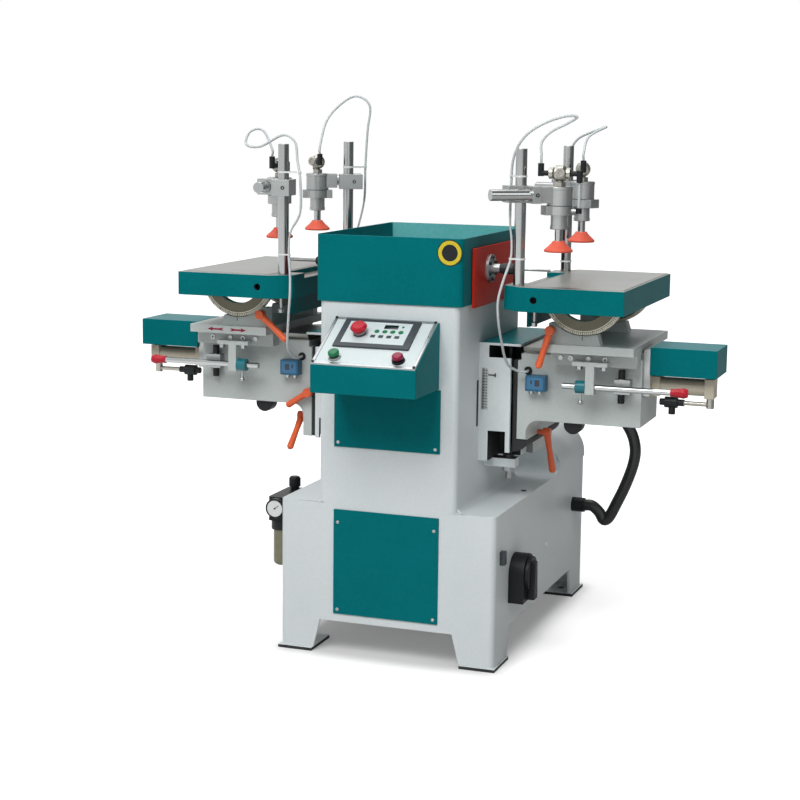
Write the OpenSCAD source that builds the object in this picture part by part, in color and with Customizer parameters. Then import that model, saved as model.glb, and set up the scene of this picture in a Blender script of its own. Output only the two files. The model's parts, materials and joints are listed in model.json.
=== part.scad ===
// Double-end tenoning and slot-mortising machine with two tilting tables.
// X runs to the right, Y to the back and Z up; the origin is on the floor between the four feet.

/* [Base and column] */
// Width of the base over its side panels
base_w = 540; // [500:5:600]
// Depth of the base from front to back
base_d = 824; // [800:4:860]
// Height of the shelf on top of the base
base_h = 370; // [330:5:390]
// Clear height under the base between its feet
foot_h = 80; // [60:5:110]
// Width of a foot at the floor, seen from the front
foot_w = 83; // [75:1:100]
// Depth of a foot at the floor, seen from the side
foot_d = 112; // [100:2:130]
// How far the feet widen towards the top
foot_taper = 20; // [5:1:35]
// Thickness of the sheet that the legs are folded from
leg_t = 8; // [5:1:12]
// Thickness of the foot plates
plate_t = 8; // [5:1:14]
// Radius of the anchor holes
anchor_r = 8; // [6:0.5:10]
// Width of the column
col_w = 344; // [330:2:350]
// Depth of the column
col_d = 494; // [480:2:520]
// Height of the column's top above the floor
col_h = 852; // [830:2:860]
// Radius of the upright edges
edge_r = 14; // [6:1:20]
// Height of the rounded box at the back of the base
rear_h = 460; // [430:5:480]
// Depth of the rounded box at the back of the base
rear_d = 262; // [230:2:280]
// Radius of the rear box's upper corners
rear_r = 80; // [50:5:85]
// Fillet between the shelf and the rear box
shelf_r = 30; // [10:1:40]
// Fillet between the shelf and the column
col_r = 16; // [8:1:24]
// Width of the green covers on the front
cover_w = 264; // [230:2:280]
// Thickness of the green covers
cover_t = 3; // [2:0.5:5]

/* [Hood] */
// How far the hood stands out past each side of the column
hood_over = 8; // [6:1:12]
// Height of the hood
hood_h = 156; // [140:2:170]
// Thickness of the hood's sheet
hood_t = 4; // [3:0.5:6]
// Depth of the open tray in the hood's top
tray_d = 40; // [30:1:44]

/* [Console] */
// Width of the console
console_w = 254; // [240:2:280]
// Reach of the console in front of the column
console_d = 163; // [150:1:180]
// Height of the console's front wall
console_front = 58; // [50:1:70]
// Height of the console where it meets the column
console_back = 154; // [145:1:165]
// Height of the console's underside above the floor
console_z = 660; // [640:2:680]
// Radius of the emergency stop's mushroom head
estop_r = 20; // [16:0.5:22]
// Radius of the start and stop buttons
button_r = 13; // [10:0.5:15]
// Travel of the buttons
button_travel = 4; // [3:0.5:5]

/* [Side fittings] */
// Width of the main switch along the base
switch_w = 96; // [80:2:110]
// Radius of the hose on the outside
hose_r = 15; // [12:0.5:18]
// Radius of the air bowl
bowl_r = 23; // [20:0.5:25]
// Length of the air bowl
bowl_len = 92; // [80:1:110]

/* [Spindle] */
// Distance of the spindle behind the column's front
spindle_back = 178; // [172:1:184]
// Height of the spindle above the table tops
spindle_rise = 25; // [22:0.5:28]
// Radius of the spindle in its quill
spindle_r = 20; // [16:0.5:22]
// Outer radius of the quill
quill_r = 30; // [26:0.5:31]
// Stroke of the oscillating carriage
osc_stroke = 80; // [60:2:80]
// Radius of the carriage's guide bars
rail_r = 14; // [10:0.5:16]
// Length of a red shield plate
shield_len = 330; // [310:2:340]
// Height of a red shield plate
shield_h = 138; // [130:2:144]
// Thickness of a red shield plate
shield_t = 6; // [4:0.5:7]
// Radius of a collet chuck
chuck_r = 13; // [10:0.5:15]
// Length of a collet chuck
chuck_len = 39; // [34:1:44]
// Radius of a cutter
cutter_r = 3.5; // [2.5:0.5:6]
// Free length of a cutter
cutter_len = 82; // [70:1:90]

/* [Table] */
// Height of the table tops above the floor
table_z = 904; // [895:1:912]
// Length of a table's ground top, along the spindle
table_w = 240; // [228:2:248]
// Depth of a table
table_d = 504; // [490:2:520]
// Thickness of a table
table_t = 57; // [52:1:62]
// Distance of a table's ground top from the middle of the machine
table_in = 310; // [306:1:318]
// How far the post lugs stand out from the ground top
lug_w = 48; // [44:1:52]
// Depth of a post lug
lug_d = 104; // [96:1:112]
// Distance of the tables behind the base's front
table_back = 18; // [10:1:26]
// Distance of the tilt axis below the table tops
tilt_drop = 19; // [15:1:23]
// Radius of the tilt arcs
arc_r = 96; // [92:1:99]
// Width of the tilt arcs' rim
arc_w = 33; // [26:1:36]
// Thickness of the tilt arcs
arc_t = 20; // [14:1:24]

/* [Saddle and knee] */
// Distance from the table top down to the saddle's top
tilt_stack = 137; // [134:1:141]
// Thickness of the saddle
saddle_t = 20; // [16:1:24]
// Length of the saddle along the spindle
saddle_w = 205; // [196:1:214]
// Depth of the saddle
saddle_d = 378; // [368:2:388]
// Height of the saddle's dovetail
way_h = 15; // [12:0.5:17]
// Width of the saddle's dovetail at its top
way_w = 180; // [172:1:186]
// Height of the knee
knee_h = 160; // [150:1:166]
// Distance of the knee's inner face from the middle of the machine
knee_in = 264; // [261:1:267]
// Distance of the knee's outer end from the middle of the machine
knee_out = 562; // [559:1:566]
// Thickness of the knee's leg
leg_w = 23; // [20:1:26]
// Fillet between the knee's leg and its underside
knee_r = 30; // [20:1:34]
// Stroke of the feed cylinder
feed_stroke = 60; // [50:1:62]
// Radius of the feed cylinder's tube
feed_r = 20; // [18:0.5:22]
// Length of the feed cylinder's tube
feed_len = 104; // [98:1:110]
// Radius of the feed rod
feed_rod_r = 6; // [5:0.5:8]
// Radius of the stop rod
stop_r = 7; // [5:0.5:8]
// Length of the green end covers
end_w = 155; // [145:1:165]
// Height of the green end covers
end_h = 65; // [58:1:70]
// Radius of the lift screws
screw_r = 9; // [7:0.5:10]

/* [Clamps] */
// Radius of the posts
post_r = 13; // [11:0.5:14]
// Height of the posts above the table
post_h = 308; // [290:2:330]
// Radius of the clamp bars
bar_r = 13; // [10:0.5:13.5]
// Height of the clamp bars above the table
bar_rise = 206; // [196:1:212]
// Distance of a clamp bar from its post
bar_off = 46; // [44:0.5:48]
// Radius of a clamp cylinder
cyl_r = 29; // [26:0.5:32]
// Radius of a piston rod
rod_r = 9; // [7:0.5:11]
// Radius of a clamp pad
pad_r = 33; // [30:0.5:36]
// Radius of the air tubes
tube_r = 3; // [2:0.25:3.5]

/* [Hidden] */
$fn = 64;
run_gap = 0.05;
slide_gap = 0.3;
eps = 0.01;
far = 2000;

// Shared places, worked out from the sizes above
front_y = -base_d / 2;
col_back = front_y + col_d;
hood_front = front_y - hood_t;
table_front = front_y + table_back;
table_rear = table_front + table_d;
tilt_x = table_in + table_w / 2;
arc_x = tilt_x + 5;
arc_bevel = 7;
lug_cut = 36;
level_len = 43;
tilt_z = table_z - tilt_drop;
table_bottom = table_z - table_t;
post_x = table_in - 17;
front_post_y = table_front + 47;
rear_post_y = table_rear - 41;
saddle_top = table_z - tilt_stack;
saddle_bottom = saddle_top - saddle_t;
saddle_front = table_front + 79;
saddle_x = tilt_x - 77;
saddle_out = saddle_x + saddle_w;
cradle_in = 80;
cradle_out = 43;
cradle_d = 30;
cradle_h = 48;
cradle_low = 26;
rear_cradle_y = saddle_front + 300;
knee_top = saddle_bottom - way_h;
knee_bottom = knee_top - knee_h;
knee_front = table_front + 156;
knee_arm_d = way_w;
knee_root_d = 338;
way_cut = way_h * 0.55;
gib_w = 36;
gib_drop = 17;
gib_front = knee_front - gib_w;
stop_y = gib_front - 12;
stop_z = knee_top - 64;
stop_w = 21;
stop_x = tilt_x + 12;
stop_t = 24;
collar_w = 24;
collar_r = 15;
leg_drop_right = 47;
leg_drop_left = 79;
lever_right = [107, 45, 122, 30];
lever_left = [46, 37, 100, -47];
slide_bottom = knee_bottom - 79;
feed_y = knee_front + 53;
feed_z = knee_top - 63;
feed_channel = 28;
bracket_w = 17;
feed_x = knee_out + bracket_w;
head_w = 19;
cap_w = 22;
head_r = 23;
lug_x = tilt_x + 50;
lug_t = 20;
piston_w = 14;
end_y = knee_front + 3;
end_d = 131;
end_z = knee_top - 35;

// Vertical guide on the side of the column
guide_x = col_w / 2;
guide_w = 78;
guide_front = knee_front - 12;
guide_d = 328;
guide_top = knee_top + 16;
guide_h = 280;
guide_z = guide_top - guide_h;
guide_wall = 24;
window_w = 43;
window_h = 74;
lip_rise = 24;
hatch_h = 29;
dove_h = 20;
dove_w = 140;
dove_cut = 10;
dove_y = knee_front + 138;
slide_face = guide_x + guide_w + 2;
slide_top = knee_top - 17;
slide_front = knee_front + 4;
slide_d = guide_front + guide_d - slide_front;
slide_r = 30;
screw_x = guide_x + 57;
screw_y = knee_front + 58;
pocket_front = guide_front + 10;
pocket_d = 92;
nut_h = 40;
nut_z = knee_bottom + 30;
cap_plate = 6;
bracket_h = 22;
bracket_d = 34;

// Spindle group
spindle_y = front_y + spindle_back;
spindle_z = table_z + spindle_rise;
hood_side = col_w / 2 + hood_over;
shield_x = hood_side + 2;
shield_y = spindle_y - 116;
shield_z = spindle_z - 85;
cap_r = 33;
cap_t = 7;
nose_r = 13;
nose_x = shield_x + shield_t + cap_t + 20;
chuck_x = nose_x;
rail_x = 118;
rail_z = col_h + 26;
bearer_t = 20;
bearer_front = front_y + 14;
bearer_back = col_back - 14 - bearer_t;
carriage_w = 292;
carriage_d = 110;
carriage_z = col_h + 4;
slot_gap = 3;
seat_w = 22;

// Console face: a plane that falls from the column to the front wall
face_top = [front_y - 8, console_z + console_back];
face_low = [front_y - console_d, console_z + console_front + 6];
face_len = norm(face_low - face_top);
face_tilt = atan2(face_top[1] - face_low[1], face_top[0] - face_low[0]);
face_t = 3;
strip_w = 7;
keypad_t = 5;
collar_h = 6;
estop_at = [-44, 62];
start_at = [-76, 152];
stop_at = [78, 152];
estop_hole = 9;
button_hole = 7;
estop_seat = 5;
button_depth = 16;

// Main switch and air service unit
switch_y = front_y + 160;
switch_z = 204;
switch_t = 38;
handle_t = 18;
handle_r = 42;
unit_x = -base_w / 2 - 55;
unit_y = front_y + 137;
unit_pitch = 75;
unit_w = 56;
unit_z = 285;
unit_h = 60;
knob_r = 14;
knob_h = 34;

// Clamp places: angle of the arm, side of the bar, reach of the cylinder, angle of the tee, where the
// block's eye for the bar begins and ends, and how far the bar runs out behind the post
clamp_rf = [38, -1, 76, 180, 4, 24, 92];
clamp_rr = [-21.5, -1, 78, 285, 4, 24, 60];
clamp_lf = [83, -1, 120, 270, 4, 24, 54];
clamp_lr = [-25, 1, 78, 240, -36, 8, 34];
block_back = 36;
block_out = 24;
block_h = 38;
block_wall = 21;
post_wall = 24;
eye_wall = 20;
holder_w = 32;
bar_z = table_z + bar_rise;
body_top = bar_z + 18;
body_h = 42;
flange_h = 21;
neck_h = 32;
neck_r = 19;
flange_w = 77;
flange_d = 34;
pad_h = 26;
pad_z = body_top - body_h - flange_h - neck_h - 26 - pad_h;
bore_r = cyl_r - 8;
piston_h = 12;
top_wall = 8;
tee_z = body_top + 30;
tee_len = 45;
fit_r = 7;
elbow_h = 22;

// Route of the hose, points chosen by hand from the base's side and the column's back
hose_start = [base_w / 2 + 35, base_d / 2 - 121, 259];
hose_end = [110, col_back + 18, 600];
function by_side(p) = [for (q = p) [base_w / 2 + q[0], base_d / 2 + q[1], q[2]]];
function by_back(p) = [for (q = p) [q[0], col_back + q[1], q[2]]];
side_points = [[55, -121, 259], [75, -121, 243], [88, -122, 224], [102, -122, 232], [120, -122, 268],
    [145, -122, 325], [164, -122, 385], [166, -122, 430], [150, -124, 475]];
back_points = [[380, 201, 525], [320, 188, 565], [240, 153, 592], [160, 98, 600], [118, 58, 600],
    [110, 38, 600]];
hose_route = concat([hose_start], by_side(side_points), by_back(back_points), [hose_end]);

// Top of a clamp's supply elbow, and the unions where its tube ends on the knee or the rear lug
function clamp_axis(y, c) = [post_x + c[2] * cos(c[0]) - c[1] * bar_off * sin(c[0]),
    y + c[2] * sin(c[0]) + c[1] * bar_off * cos(c[0])];
function elbow_top(y, c) = let (p = clamp_axis(y, c))
    [p[0] + tee_len * cos(c[3]), p[1] + tee_len * sin(c[3]), tee_z + elbow_h];
union_y = rear_post_y + 28;
union_x = post_x - 3;
union_h = 12;
gland_x = knee_in + 26;
gland_z = knee_top - 41;
gland_h = 2;
knee_end = [gland_x, knee_front - gland_h, gland_z];
lug_end = [union_x, union_y, table_z + union_h];

// A tube leaves its elbow and meets its union squarely
tube_lead = 18;
function led(start, points, end, out) = concat([start + [0, 0, run_gap], start + [0, 0, tube_lead]], points,
    [end + tube_lead * out, end + run_gap * out]);

// Air tube routes, points chosen by hand from the foot of each post, as for the right-hand station
function by_post(y, p) = [for (q = p) [post_x, y, table_z] + q];
rf_points = [
    [41, 19, 322], [59, 31, 346], [95, 43, 366], [115, 45, 380], [85, 37, 380], [35, 23, 360],
    [-3, 19, 330], [-25, 21, 286], [-30, 23, 226], [-30, 21, 136], [-37, 7, 74], [-39, -21, 26],
    [-37, -37, -24], [-35, -35, -74], [-37, -3, -134], [-38, 47, -189], [-23, 79, -210]];
rr_points = [
    [71, -85, 332], [105, -49, 356], [59, -15, 342], [17, 19, 324], [-3, 34, 292], [-4, 36, 216],
    [-4, 34, 96]];
lf_points = [
    [91, 81, 338], [119, 69, 334], [121, 51, 304], [77, 37, 300], [13, 25, 328], [-21, 19, 312],
    [-31, 11, 270], [-45, -5, 226], [-47, -9, 156], [-41, -5, 81], [-40, -21, 26], [-37, -41, -24],
    [-33, -39, -74], [-21, -5, -134], [-11, 47, -189]];
lr_points = [
    [63, 1, 358], [32, 17, 401], [-11, 23, 424], [-47, 27, 400], [-41, 29, 336], [-35, 31, 246],
    [-31, 35, 156], [-11, 33, 71]];
rf_route = led(elbow_top(front_post_y, clamp_rf), by_post(front_post_y, rf_points), knee_end, [0, -1, 0]);
rr_route = led(elbow_top(rear_post_y, clamp_rr), by_post(rear_post_y, rr_points), lug_end, [0, 0, 1]);
lf_route = led(elbow_top(front_post_y, clamp_lf), by_post(front_post_y, lf_points), knee_end, [0, -1, 0]);
lr_route = led(elbow_top(rear_post_y, clamp_lr), by_post(rear_post_y, lr_points), lug_end, [0, 0, 1]);

grey = "#c9cfd2";
green = "#006a66";
steel = "#b9bcbd";
orange = "#e2552f";
black = "#1f2123";

// Helpers

module round_rect(w, d, r) {
    union() {
        translate([r, 0]) square([w - 2 * r, d]);
        translate([0, r]) square([w, d - 2 * r]);
        for (x = [r, w - r], y = [r, d - r]) translate([x, y]) circle(r);
    }
}

module x_cyl(r, x0, x1) {
    translate([x0, 0, 0]) rotate([0, 90, 0]) cylinder(r = r, h = x1 - x0);
}

module y_cyl(r, y0, y1) {
    translate([0, y1, 0]) rotate([90, 0, 0]) cylinder(r = r, h = y1 - y0);
}

// A profile drawn in X and Z, pulled along Y
module xz_pull(y0, y1) {
    translate([0, y1, 0]) rotate([90, 0, 0]) linear_extrude(y1 - y0) children();
}

// A profile drawn in Y and Z, pulled along X
module yz_pull(x0, x1) {
    translate([x0, 0, 0]) rotate([90, 0, 90]) linear_extrude(x1 - x0) children();
}

module side(s) {
    if (s > 0) children();
    else mirror([1, 0, 0]) children();
}

// A tube swept along a route: one ring of corners at each point
function way_dir(p, i) = let (a = p[max(i - 1, 0)], b = p[min(i + 1, len(p) - 1)]) (b - a) / norm(b - a);
function carried(v, t) = let (w = v - (v * t) * t) w / norm(w);
function first_side(t) = carried(abs(t[2]) < 0.9 ? [0, 0, 1] : [1, 0, 0], t);
function ring_sides(p, i = 0, last = undef) = i >= len(p) ? [] :
    let (t = way_dir(p, i), v = i == 0 ? first_side(t) : carried(last, t))
    concat([v], ring_sides(p, i + 1, v));

module tube(p, r, sides) {
    normals = ring_sides(p);
    rings = [for (i = [0 : len(p) - 1]) let (t = way_dir(p, i), u = normals[i], w = cross(t, u))
        for (k = [0 : sides - 1]) p[i] + r * (cos(360 * k / sides) * u + sin(360 * k / sides) * w)];
    last = (len(p) - 1) * sides;
    walls = [for (i = [0 : len(p) - 2], k = [0 : sides - 1])
        let (a = i * sides + k, b = i * sides + (k + 1) % sides)
        each [[a, a + sides, b], [b, a + sides, b + sides]]];
    near_end = [for (k = [1 : sides - 2]) [0, k, k + 1]];
    far_end = [for (k = [1 : sides - 2]) [last, last + k + 1, last + k]];
    polyhedron(rings, concat(walls, near_end, far_end), convexity = 8);
}

// Base, column and what is fixed on them

module base_outline() {
    translate([-base_w / 2, front_y]) round_rect(base_w, base_d, edge_r);
}

module legs() {
    foot_x = base_w / 2 - foot_w;
    foot_y = base_d / 2 - foot_d;
    difference() {
        translate([0, 0, plate_t]) linear_extrude(foot_h - plate_t + eps) difference() {
            base_outline();
            translate([-base_w / 2 + leg_t, front_y + leg_t])
                square([base_w - 2 * leg_t, base_d - 2 * leg_t]);
        }
        xz_pull(-base_d, base_d) polygon([[-foot_x, 0], [foot_x, 0],
            [foot_x - foot_taper, foot_h], [-foot_x + foot_taper, foot_h]]);
        yz_pull(-base_w, base_w) polygon([[-foot_y, 0], [foot_y, 0],
            [foot_y - foot_taper, foot_h], [-foot_y + foot_taper, foot_h]]);
    }
}

module foot_plates() {
    proud = 5;
    for (sx = [-1, 1], sy = [-1, 1]) difference() {
        translate([sx > 0 ? base_w / 2 - foot_w : -base_w / 2 - proud,
            sy > 0 ? base_d / 2 - foot_d : front_y - proud, 0])
            cube([foot_w + proud, foot_d + proud, plate_t]);
        translate([sx * (base_w / 2 - foot_w / 2), sy * (base_d / 2 - foot_d / 2), -1])
            cylinder(r = anchor_r, h = plate_t + 2);
    }
}

module rear_box() {
    half = base_w / 2;
    y0 = base_d / 2 - rear_d;
    xz_pull(y0, base_d / 2) intersection() {
        translate([-half, base_h - eps]) square([base_w, rear_h - base_h + eps]);
        translate([-half, rear_h - base_h]) round_rect(base_w, base_h, rear_r);
    }
    difference() {
        translate([-half, y0 - shelf_r, base_h - eps]) cube([base_w, shelf_r + eps, shelf_r + eps]);
        translate([0, y0 - shelf_r, base_h + shelf_r]) x_cyl(shelf_r, -base_w, base_w);
    }
}

module hose_fittings() {
    wall = 4;
    translate([0, hose_start[1], hose_start[2]]) x_cyl(hose_r + wall, base_w / 2 - eps, hose_start[0]);
    translate([hose_end[0], 0, hose_end[2]]) y_cyl(hose_r + wall, col_back - eps, hose_end[1]);
}

// Fillets where the column's sides meet the shelf
module column_fillets() {
    for (s = [1, -1]) side(s) difference() {
        translate([col_w / 2 - eps, front_y + edge_r, base_h - eps])
            cube([col_r + eps, col_d - 2 * edge_r, col_r + eps]);
        translate([col_w / 2 + col_r, 0, base_h + col_r]) y_cyl(col_r, -base_d, base_d);
    }
}

module base_column() {
    color(grey) {
        translate([0, 0, foot_h]) linear_extrude(base_h - foot_h) base_outline();
        legs();
        foot_plates();
        rear_box();
        column_fillets();
        translate([0, 0, base_h - eps]) linear_extrude(col_h - base_h + eps)
            translate([-col_w / 2, front_y]) round_rect(col_w, col_d, edge_r);
    }
    color(black) hose_fittings();
}

// The lower cover lies on the base, the upper one on the column below the console
module front_panels() {
    border = 20;
    rise = 138;
    color(green) for (z = [[foot_h + border, base_h - 14], [base_h + rise, console_z - 2]])
        translate([-cover_w / 2, front_y - cover_t, z[0]]) cube([cover_w, cover_t, z[1] - z[0]]);
}

module hood_outline(inset) {
    translate([-hood_side + inset, hood_front + inset])
        round_rect(2 * (hood_side - inset), col_d + 2 * (hood_t - inset), edge_r - inset);
}

module hood() {
    slot_h = 2 * (quill_r + slot_gap);
    color(green) difference() {
        translate([0, 0, col_h]) linear_extrude(hood_h) hood_outline(0);
        translate([0, 0, col_h + hood_h - tray_d]) linear_extrude(tray_d + 1) hood_outline(hood_t);
        translate([0, 0, col_h + hood_t]) linear_extrude(hood_h - tray_d - 2 * hood_t) hood_outline(hood_t);
        translate([-carriage_w / 2 - seat_w / 4, front_y + seat_w / 4, col_h - 1])
            cube([carriage_w + seat_w / 2, col_d - seat_w / 2, hood_t + 2]);
        translate([0, 0, spindle_z]) yz_pull(-hood_side - 1, hood_side + 1)
            translate([spindle_y - slot_h / 2, -slot_h / 2]) square([osc_stroke + slot_h, slot_h]);
    }
}

// Places on the console's face: x across, v down the slope from its upper edge
module on_face(x, v, h = 0) {
    translate([0, face_top[0], face_top[1]]) rotate([face_tilt, 0, 0]) translate([x, -v, h]) children();
}

// Holes for the three button stems
module button_holes() {
    on_face(estop_at[0], estop_at[1], -2 * button_depth) cylinder(r = estop_hole, h = far / 10);
    for (p = [start_at, stop_at])
        on_face(p[0], p[1], -2 * button_depth) cylinder(r = button_hole, h = far / 10);
}

module console_box() {
    color(green) difference() {
        yz_pull(-console_w / 2, console_w / 2) polygon([[front_y, console_z], [face_low[0], console_z],
            face_low, face_top, [front_y, face_top[1]]]);
        button_holes();
    }
}

module console_panel() {
    half = console_w / 2 - 2;
    down = face_len - 1;
    key_w = 184;
    key_h = 104;
    key_rim = 14;
    difference() {
        union() {
            color("#e9ecec") on_face(-half, down) cube([2 * half, down - 1, face_t]);
            color(steel) for (x = [-half, half - strip_w])
                on_face(x, down) cube([strip_w, down - 1, face_t + 2]);
            color(steel) for (v = [strip_w + 1, down])
                on_face(-half, v) cube([2 * half, strip_w, face_t + 2]);
            color("#3a3f46") difference() {
                on_face(-95, key_h + 9) cube([key_w, key_h, face_t + keypad_t]);
                on_face(-95 + key_rim, key_h + 9 - key_rim, face_t + keypad_t - 1)
                    cube([key_w - 2 * key_rim - 3, key_h - 2 * key_rim + 6, 2]);
            }
            color(steel) for (p = [start_at, stop_at])
                on_face(p[0], p[1]) cylinder(r = button_r + 2, h = face_t + collar_h);
            color("#d8c020") on_face(estop_at[0], estop_at[1])
                cylinder(r = estop_hole + 6, h = face_t + keypad_t + estop_seat);
        }
        button_holes();
    }
}

module emergency_stop() {
    seat = face_t + keypad_t + estop_seat + button_travel;
    color("#d0122d") on_face(estop_at[0], estop_at[1]) {
        translate([0, 0, -button_depth])
            cylinder(r = estop_hole - slide_gap, h = seat + button_depth + eps);
        translate([0, 0, seat]) cylinder(r1 = estop_r - 4, r2 = estop_r, h = 8);
        translate([0, 0, seat + 8 - eps]) cylinder(r1 = estop_r, r2 = estop_r - 5, h = 7);
    }
}

module push_button(p, tint) {
    seat = face_t + collar_h + button_travel;
    color(tint) on_face(p[0], p[1]) {
        translate([0, 0, -button_depth])
            cylinder(r = button_hole - slide_gap, h = seat + button_depth + eps);
        translate([0, 0, seat]) cylinder(r = button_r, h = 6);
        translate([0, 0, seat + 6 - eps]) cylinder(r1 = button_r, r2 = button_r - 3, h = 3);
    }
}

module start_button() {
    push_button(start_at, "#1f9a63");
}

module stop_button() {
    push_button(stop_at, "#c4124a");
}

module main_switch_body() {
    half = switch_w / 2;
    color(black) translate([0, switch_y, switch_z]) yz_pull(base_w / 2, base_w / 2 + switch_t) union() {
        circle(half);
        translate([-half, -half - 18]) square([switch_w, half + 18]);
    }
}

module main_switch_handle() {
    x0 = base_w / 2 + switch_t;
    color("#2a2c2e") translate([0, switch_y, switch_z]) {
        x_cyl(handle_r, x0, x0 + handle_t * 0.5);
        yz_pull(x0 + handle_t * 0.5 - eps, x0 + handle_t)
            polygon([[-9, 30], [9, 30], [15, -62], [-15, -62]]);
        yz_pull(x0, x0 + handle_t) polygon([[-14, -38], [14, -38], [15, -62], [-15, -62]]);
    }
}

module air_service_unit() {
    half = unit_w / 2;
    color(steel) {
        translate([unit_x - half, unit_y - half, unit_z])
            linear_extrude(unit_h) round_rect(unit_w, unit_pitch + unit_w, 8);
        translate([unit_x + half - eps, unit_y + unit_pitch / 2 - 15, unit_z + 15])
            cube([-base_w / 2 - unit_x - half + eps, 30, 30]);
        translate([unit_x, unit_y + unit_pitch, unit_z - 22]) cylinder(r = bowl_r - 5, h = 22 + eps);
    }
    color("#2b2d2f") {
        translate([unit_x, unit_y, unit_z - 24]) cylinder(r = bowl_r + 5, h = 24);
        translate([unit_x, 0, unit_z + 36]) y_cyl(24, unit_y - half - 22, unit_y - half - 6);
        translate([unit_x, 0, unit_z + 36]) y_cyl(6, unit_y - half - 7, unit_y - half + eps);
    }
    color([0.45, 0.42, 0.25, 0.6]) translate([unit_x, unit_y, unit_z - 24 - bowl_len])
        rotate_extrude() union() {
            translate([0, 12]) square([bowl_r, bowl_len - 12]);
            square([bowl_r - 12, 13]);
            intersection() {
                translate([bowl_r - 12, 12]) circle(12);
                translate([bowl_r - 12, 0]) square(12);
            }
        }
}

module regulator_knob() {
    color(black) translate([unit_x, unit_y + unit_pitch, unit_z + unit_h]) {
        cylinder(r = knob_r - 3, h = 8);
        translate([0, 0, 8 - eps]) cylinder(r = knob_r, h = knob_h - 12);
        translate([0, 0, knob_h - 4 - eps]) cylinder(r1 = knob_r, r2 = knob_r - 3, h = 4);
    }
}

module dust_hose() {
    color(black) tube(hose_route, hose_r, 10);
}

// Vertical guide: plate and hollow rail on the column, dovetail, cap and screw bracket

module dovetail_plan(gap) {
    half = dove_w / 2 + gap;
    translate([guide_x + guide_w, dove_y + dove_w / 2])
        polygon([[-eps, -half], [dove_h + gap, -half - dove_cut],
            [dove_h + gap, half + dove_cut], [-eps, half]]);
}

// The pocket holds the lift screw; two windows in its front wall show it, the upper one open to the side
module one_guide() {
    pocket_x = guide_x + guide_wall;
    lip_t = pocket_front - guide_front;
    difference() {
        union() {
            translate([guide_x, guide_front, guide_z]) cube([guide_w, guide_d, guide_h]);
            translate([guide_x, screw_y - bracket_d / 2, guide_z - bracket_h])
                cube([guide_w, bracket_d, bracket_h + eps]);
            translate([0, 0, guide_z]) linear_extrude(guide_h) dovetail_plan(0);
        }
        translate([pocket_x, pocket_front, guide_z]) cube([guide_w, pocket_d, guide_h + 1]);
        // lower window, foot beside it, upper window
        translate([pocket_x, guide_front - 1, guide_z - 1]) cube([window_w, lip_t + 2, window_h + 1]);
        translate([pocket_x, guide_front - 1, guide_z - 1]) cube([guide_w, lip_t + 2, lip_rise + 1]);
        translate([pocket_x, guide_front - 1, guide_top - hatch_h]) cube([guide_w, lip_t + 2, hatch_h + 1]);
        translate([screw_x, screw_y, guide_z - bracket_h - 1])
            cylinder(r = screw_r + run_gap, h = bracket_h + 2);
    }
    translate([guide_x, guide_front, guide_top - eps])
        cube([guide_w + dove_h + 4, guide_d, cap_plate]);
}

module slide_guides() {
    color(grey) for (s = [1, -1]) side(s) one_guide();
}

module lift_screw() {
    translate([screw_x, screw_y, 0]) {
        translate([0, 0, guide_z - bracket_h - 12]) cylinder(r = screw_r, h = guide_h + 30);
        translate([0, 0, guide_z]) cylinder(r = screw_r + 5, h = 8);
        translate([0, 0, guide_z - bracket_h - 11]) cylinder(r = screw_r + 6, h = 11, $fn = 6);
        translate([0, 0, guide_z - bracket_h - 30]) cylinder(r = screw_r - 1, h = 19, $fn = 4);
    }
}

// Spindle group

module carriage_guide() {
    color(steel) {
        for (y = [bearer_front, bearer_back]) translate([-carriage_w / 2, y, col_h])
            cube([carriage_w, bearer_t, rail_z - col_h + rail_r + 6]);
        for (x = [-rail_x, rail_x]) translate([x, 0, rail_z])
            y_cyl(rail_r, bearer_front + bearer_t - eps, bearer_back + eps);
    }
}

module spindle_carriage() {
    color("#8d9296") difference() {
        union() {
            translate([-carriage_w / 2, spindle_y - carriage_d / 2, carriage_z])
                cube([carriage_w, carriage_d, spindle_z + 8 - carriage_z]);
            translate([0, spindle_y, spindle_z]) x_cyl(quill_r, -shield_x, shield_x);
        }
        for (x = [-rail_x, rail_x]) translate([x, 0, rail_z])
            y_cyl(rail_r + run_gap, spindle_y - carriage_d, spindle_y + carriage_d);
        translate([0, spindle_y, spindle_z]) x_cyl(spindle_r + run_gap, -far, far);
    }
}

module shield_plates() {
    for (s = [1, -1]) side(s) {
        color("#c3281f") difference() {
            translate([shield_x, shield_y, shield_z]) cube([shield_t, shield_len, shield_h]);
            translate([0, spindle_y, spindle_z]) x_cyl(spindle_r + 1, 0, far);
        }
        color(steel) translate([0, spindle_y, spindle_z]) difference() {
            x_cyl(cap_r, shield_x + shield_t, shield_x + shield_t + cap_t);
            x_cyl(spindle_r + 1, 0, far);
        }
    }
}

module spindle() {
    shoulder = shield_x + shield_t + cap_t;
    color("#c8cacb") translate([0, spindle_y, spindle_z]) {
        x_cyl(spindle_r, -shoulder, shoulder);
        x_cyl(nose_r - 2, -nose_x, nose_x);
    }
}

module cutter_chucks() {
    for (s = [1, -1]) side(s) translate([0, spindle_y, spindle_z]) {
        color(black) {
            x_cyl(chuck_r - 2, chuck_x, chuck_x + 6);
            x_cyl(chuck_r, chuck_x + 6 - eps, chuck_x + chuck_len - 7);
            translate([chuck_x + chuck_len - 7 - eps, 0, 0]) rotate([0, 90, 0])
                cylinder(r1 = chuck_r, r2 = chuck_r - 4, h = 7);
        }
        color(steel) x_cyl(cutter_r, chuck_x + chuck_len - eps, chuck_x + chuck_len + cutter_len);
    }
}

// Station: knee, saddle and what they carry, drawn for the right-hand side

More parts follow.
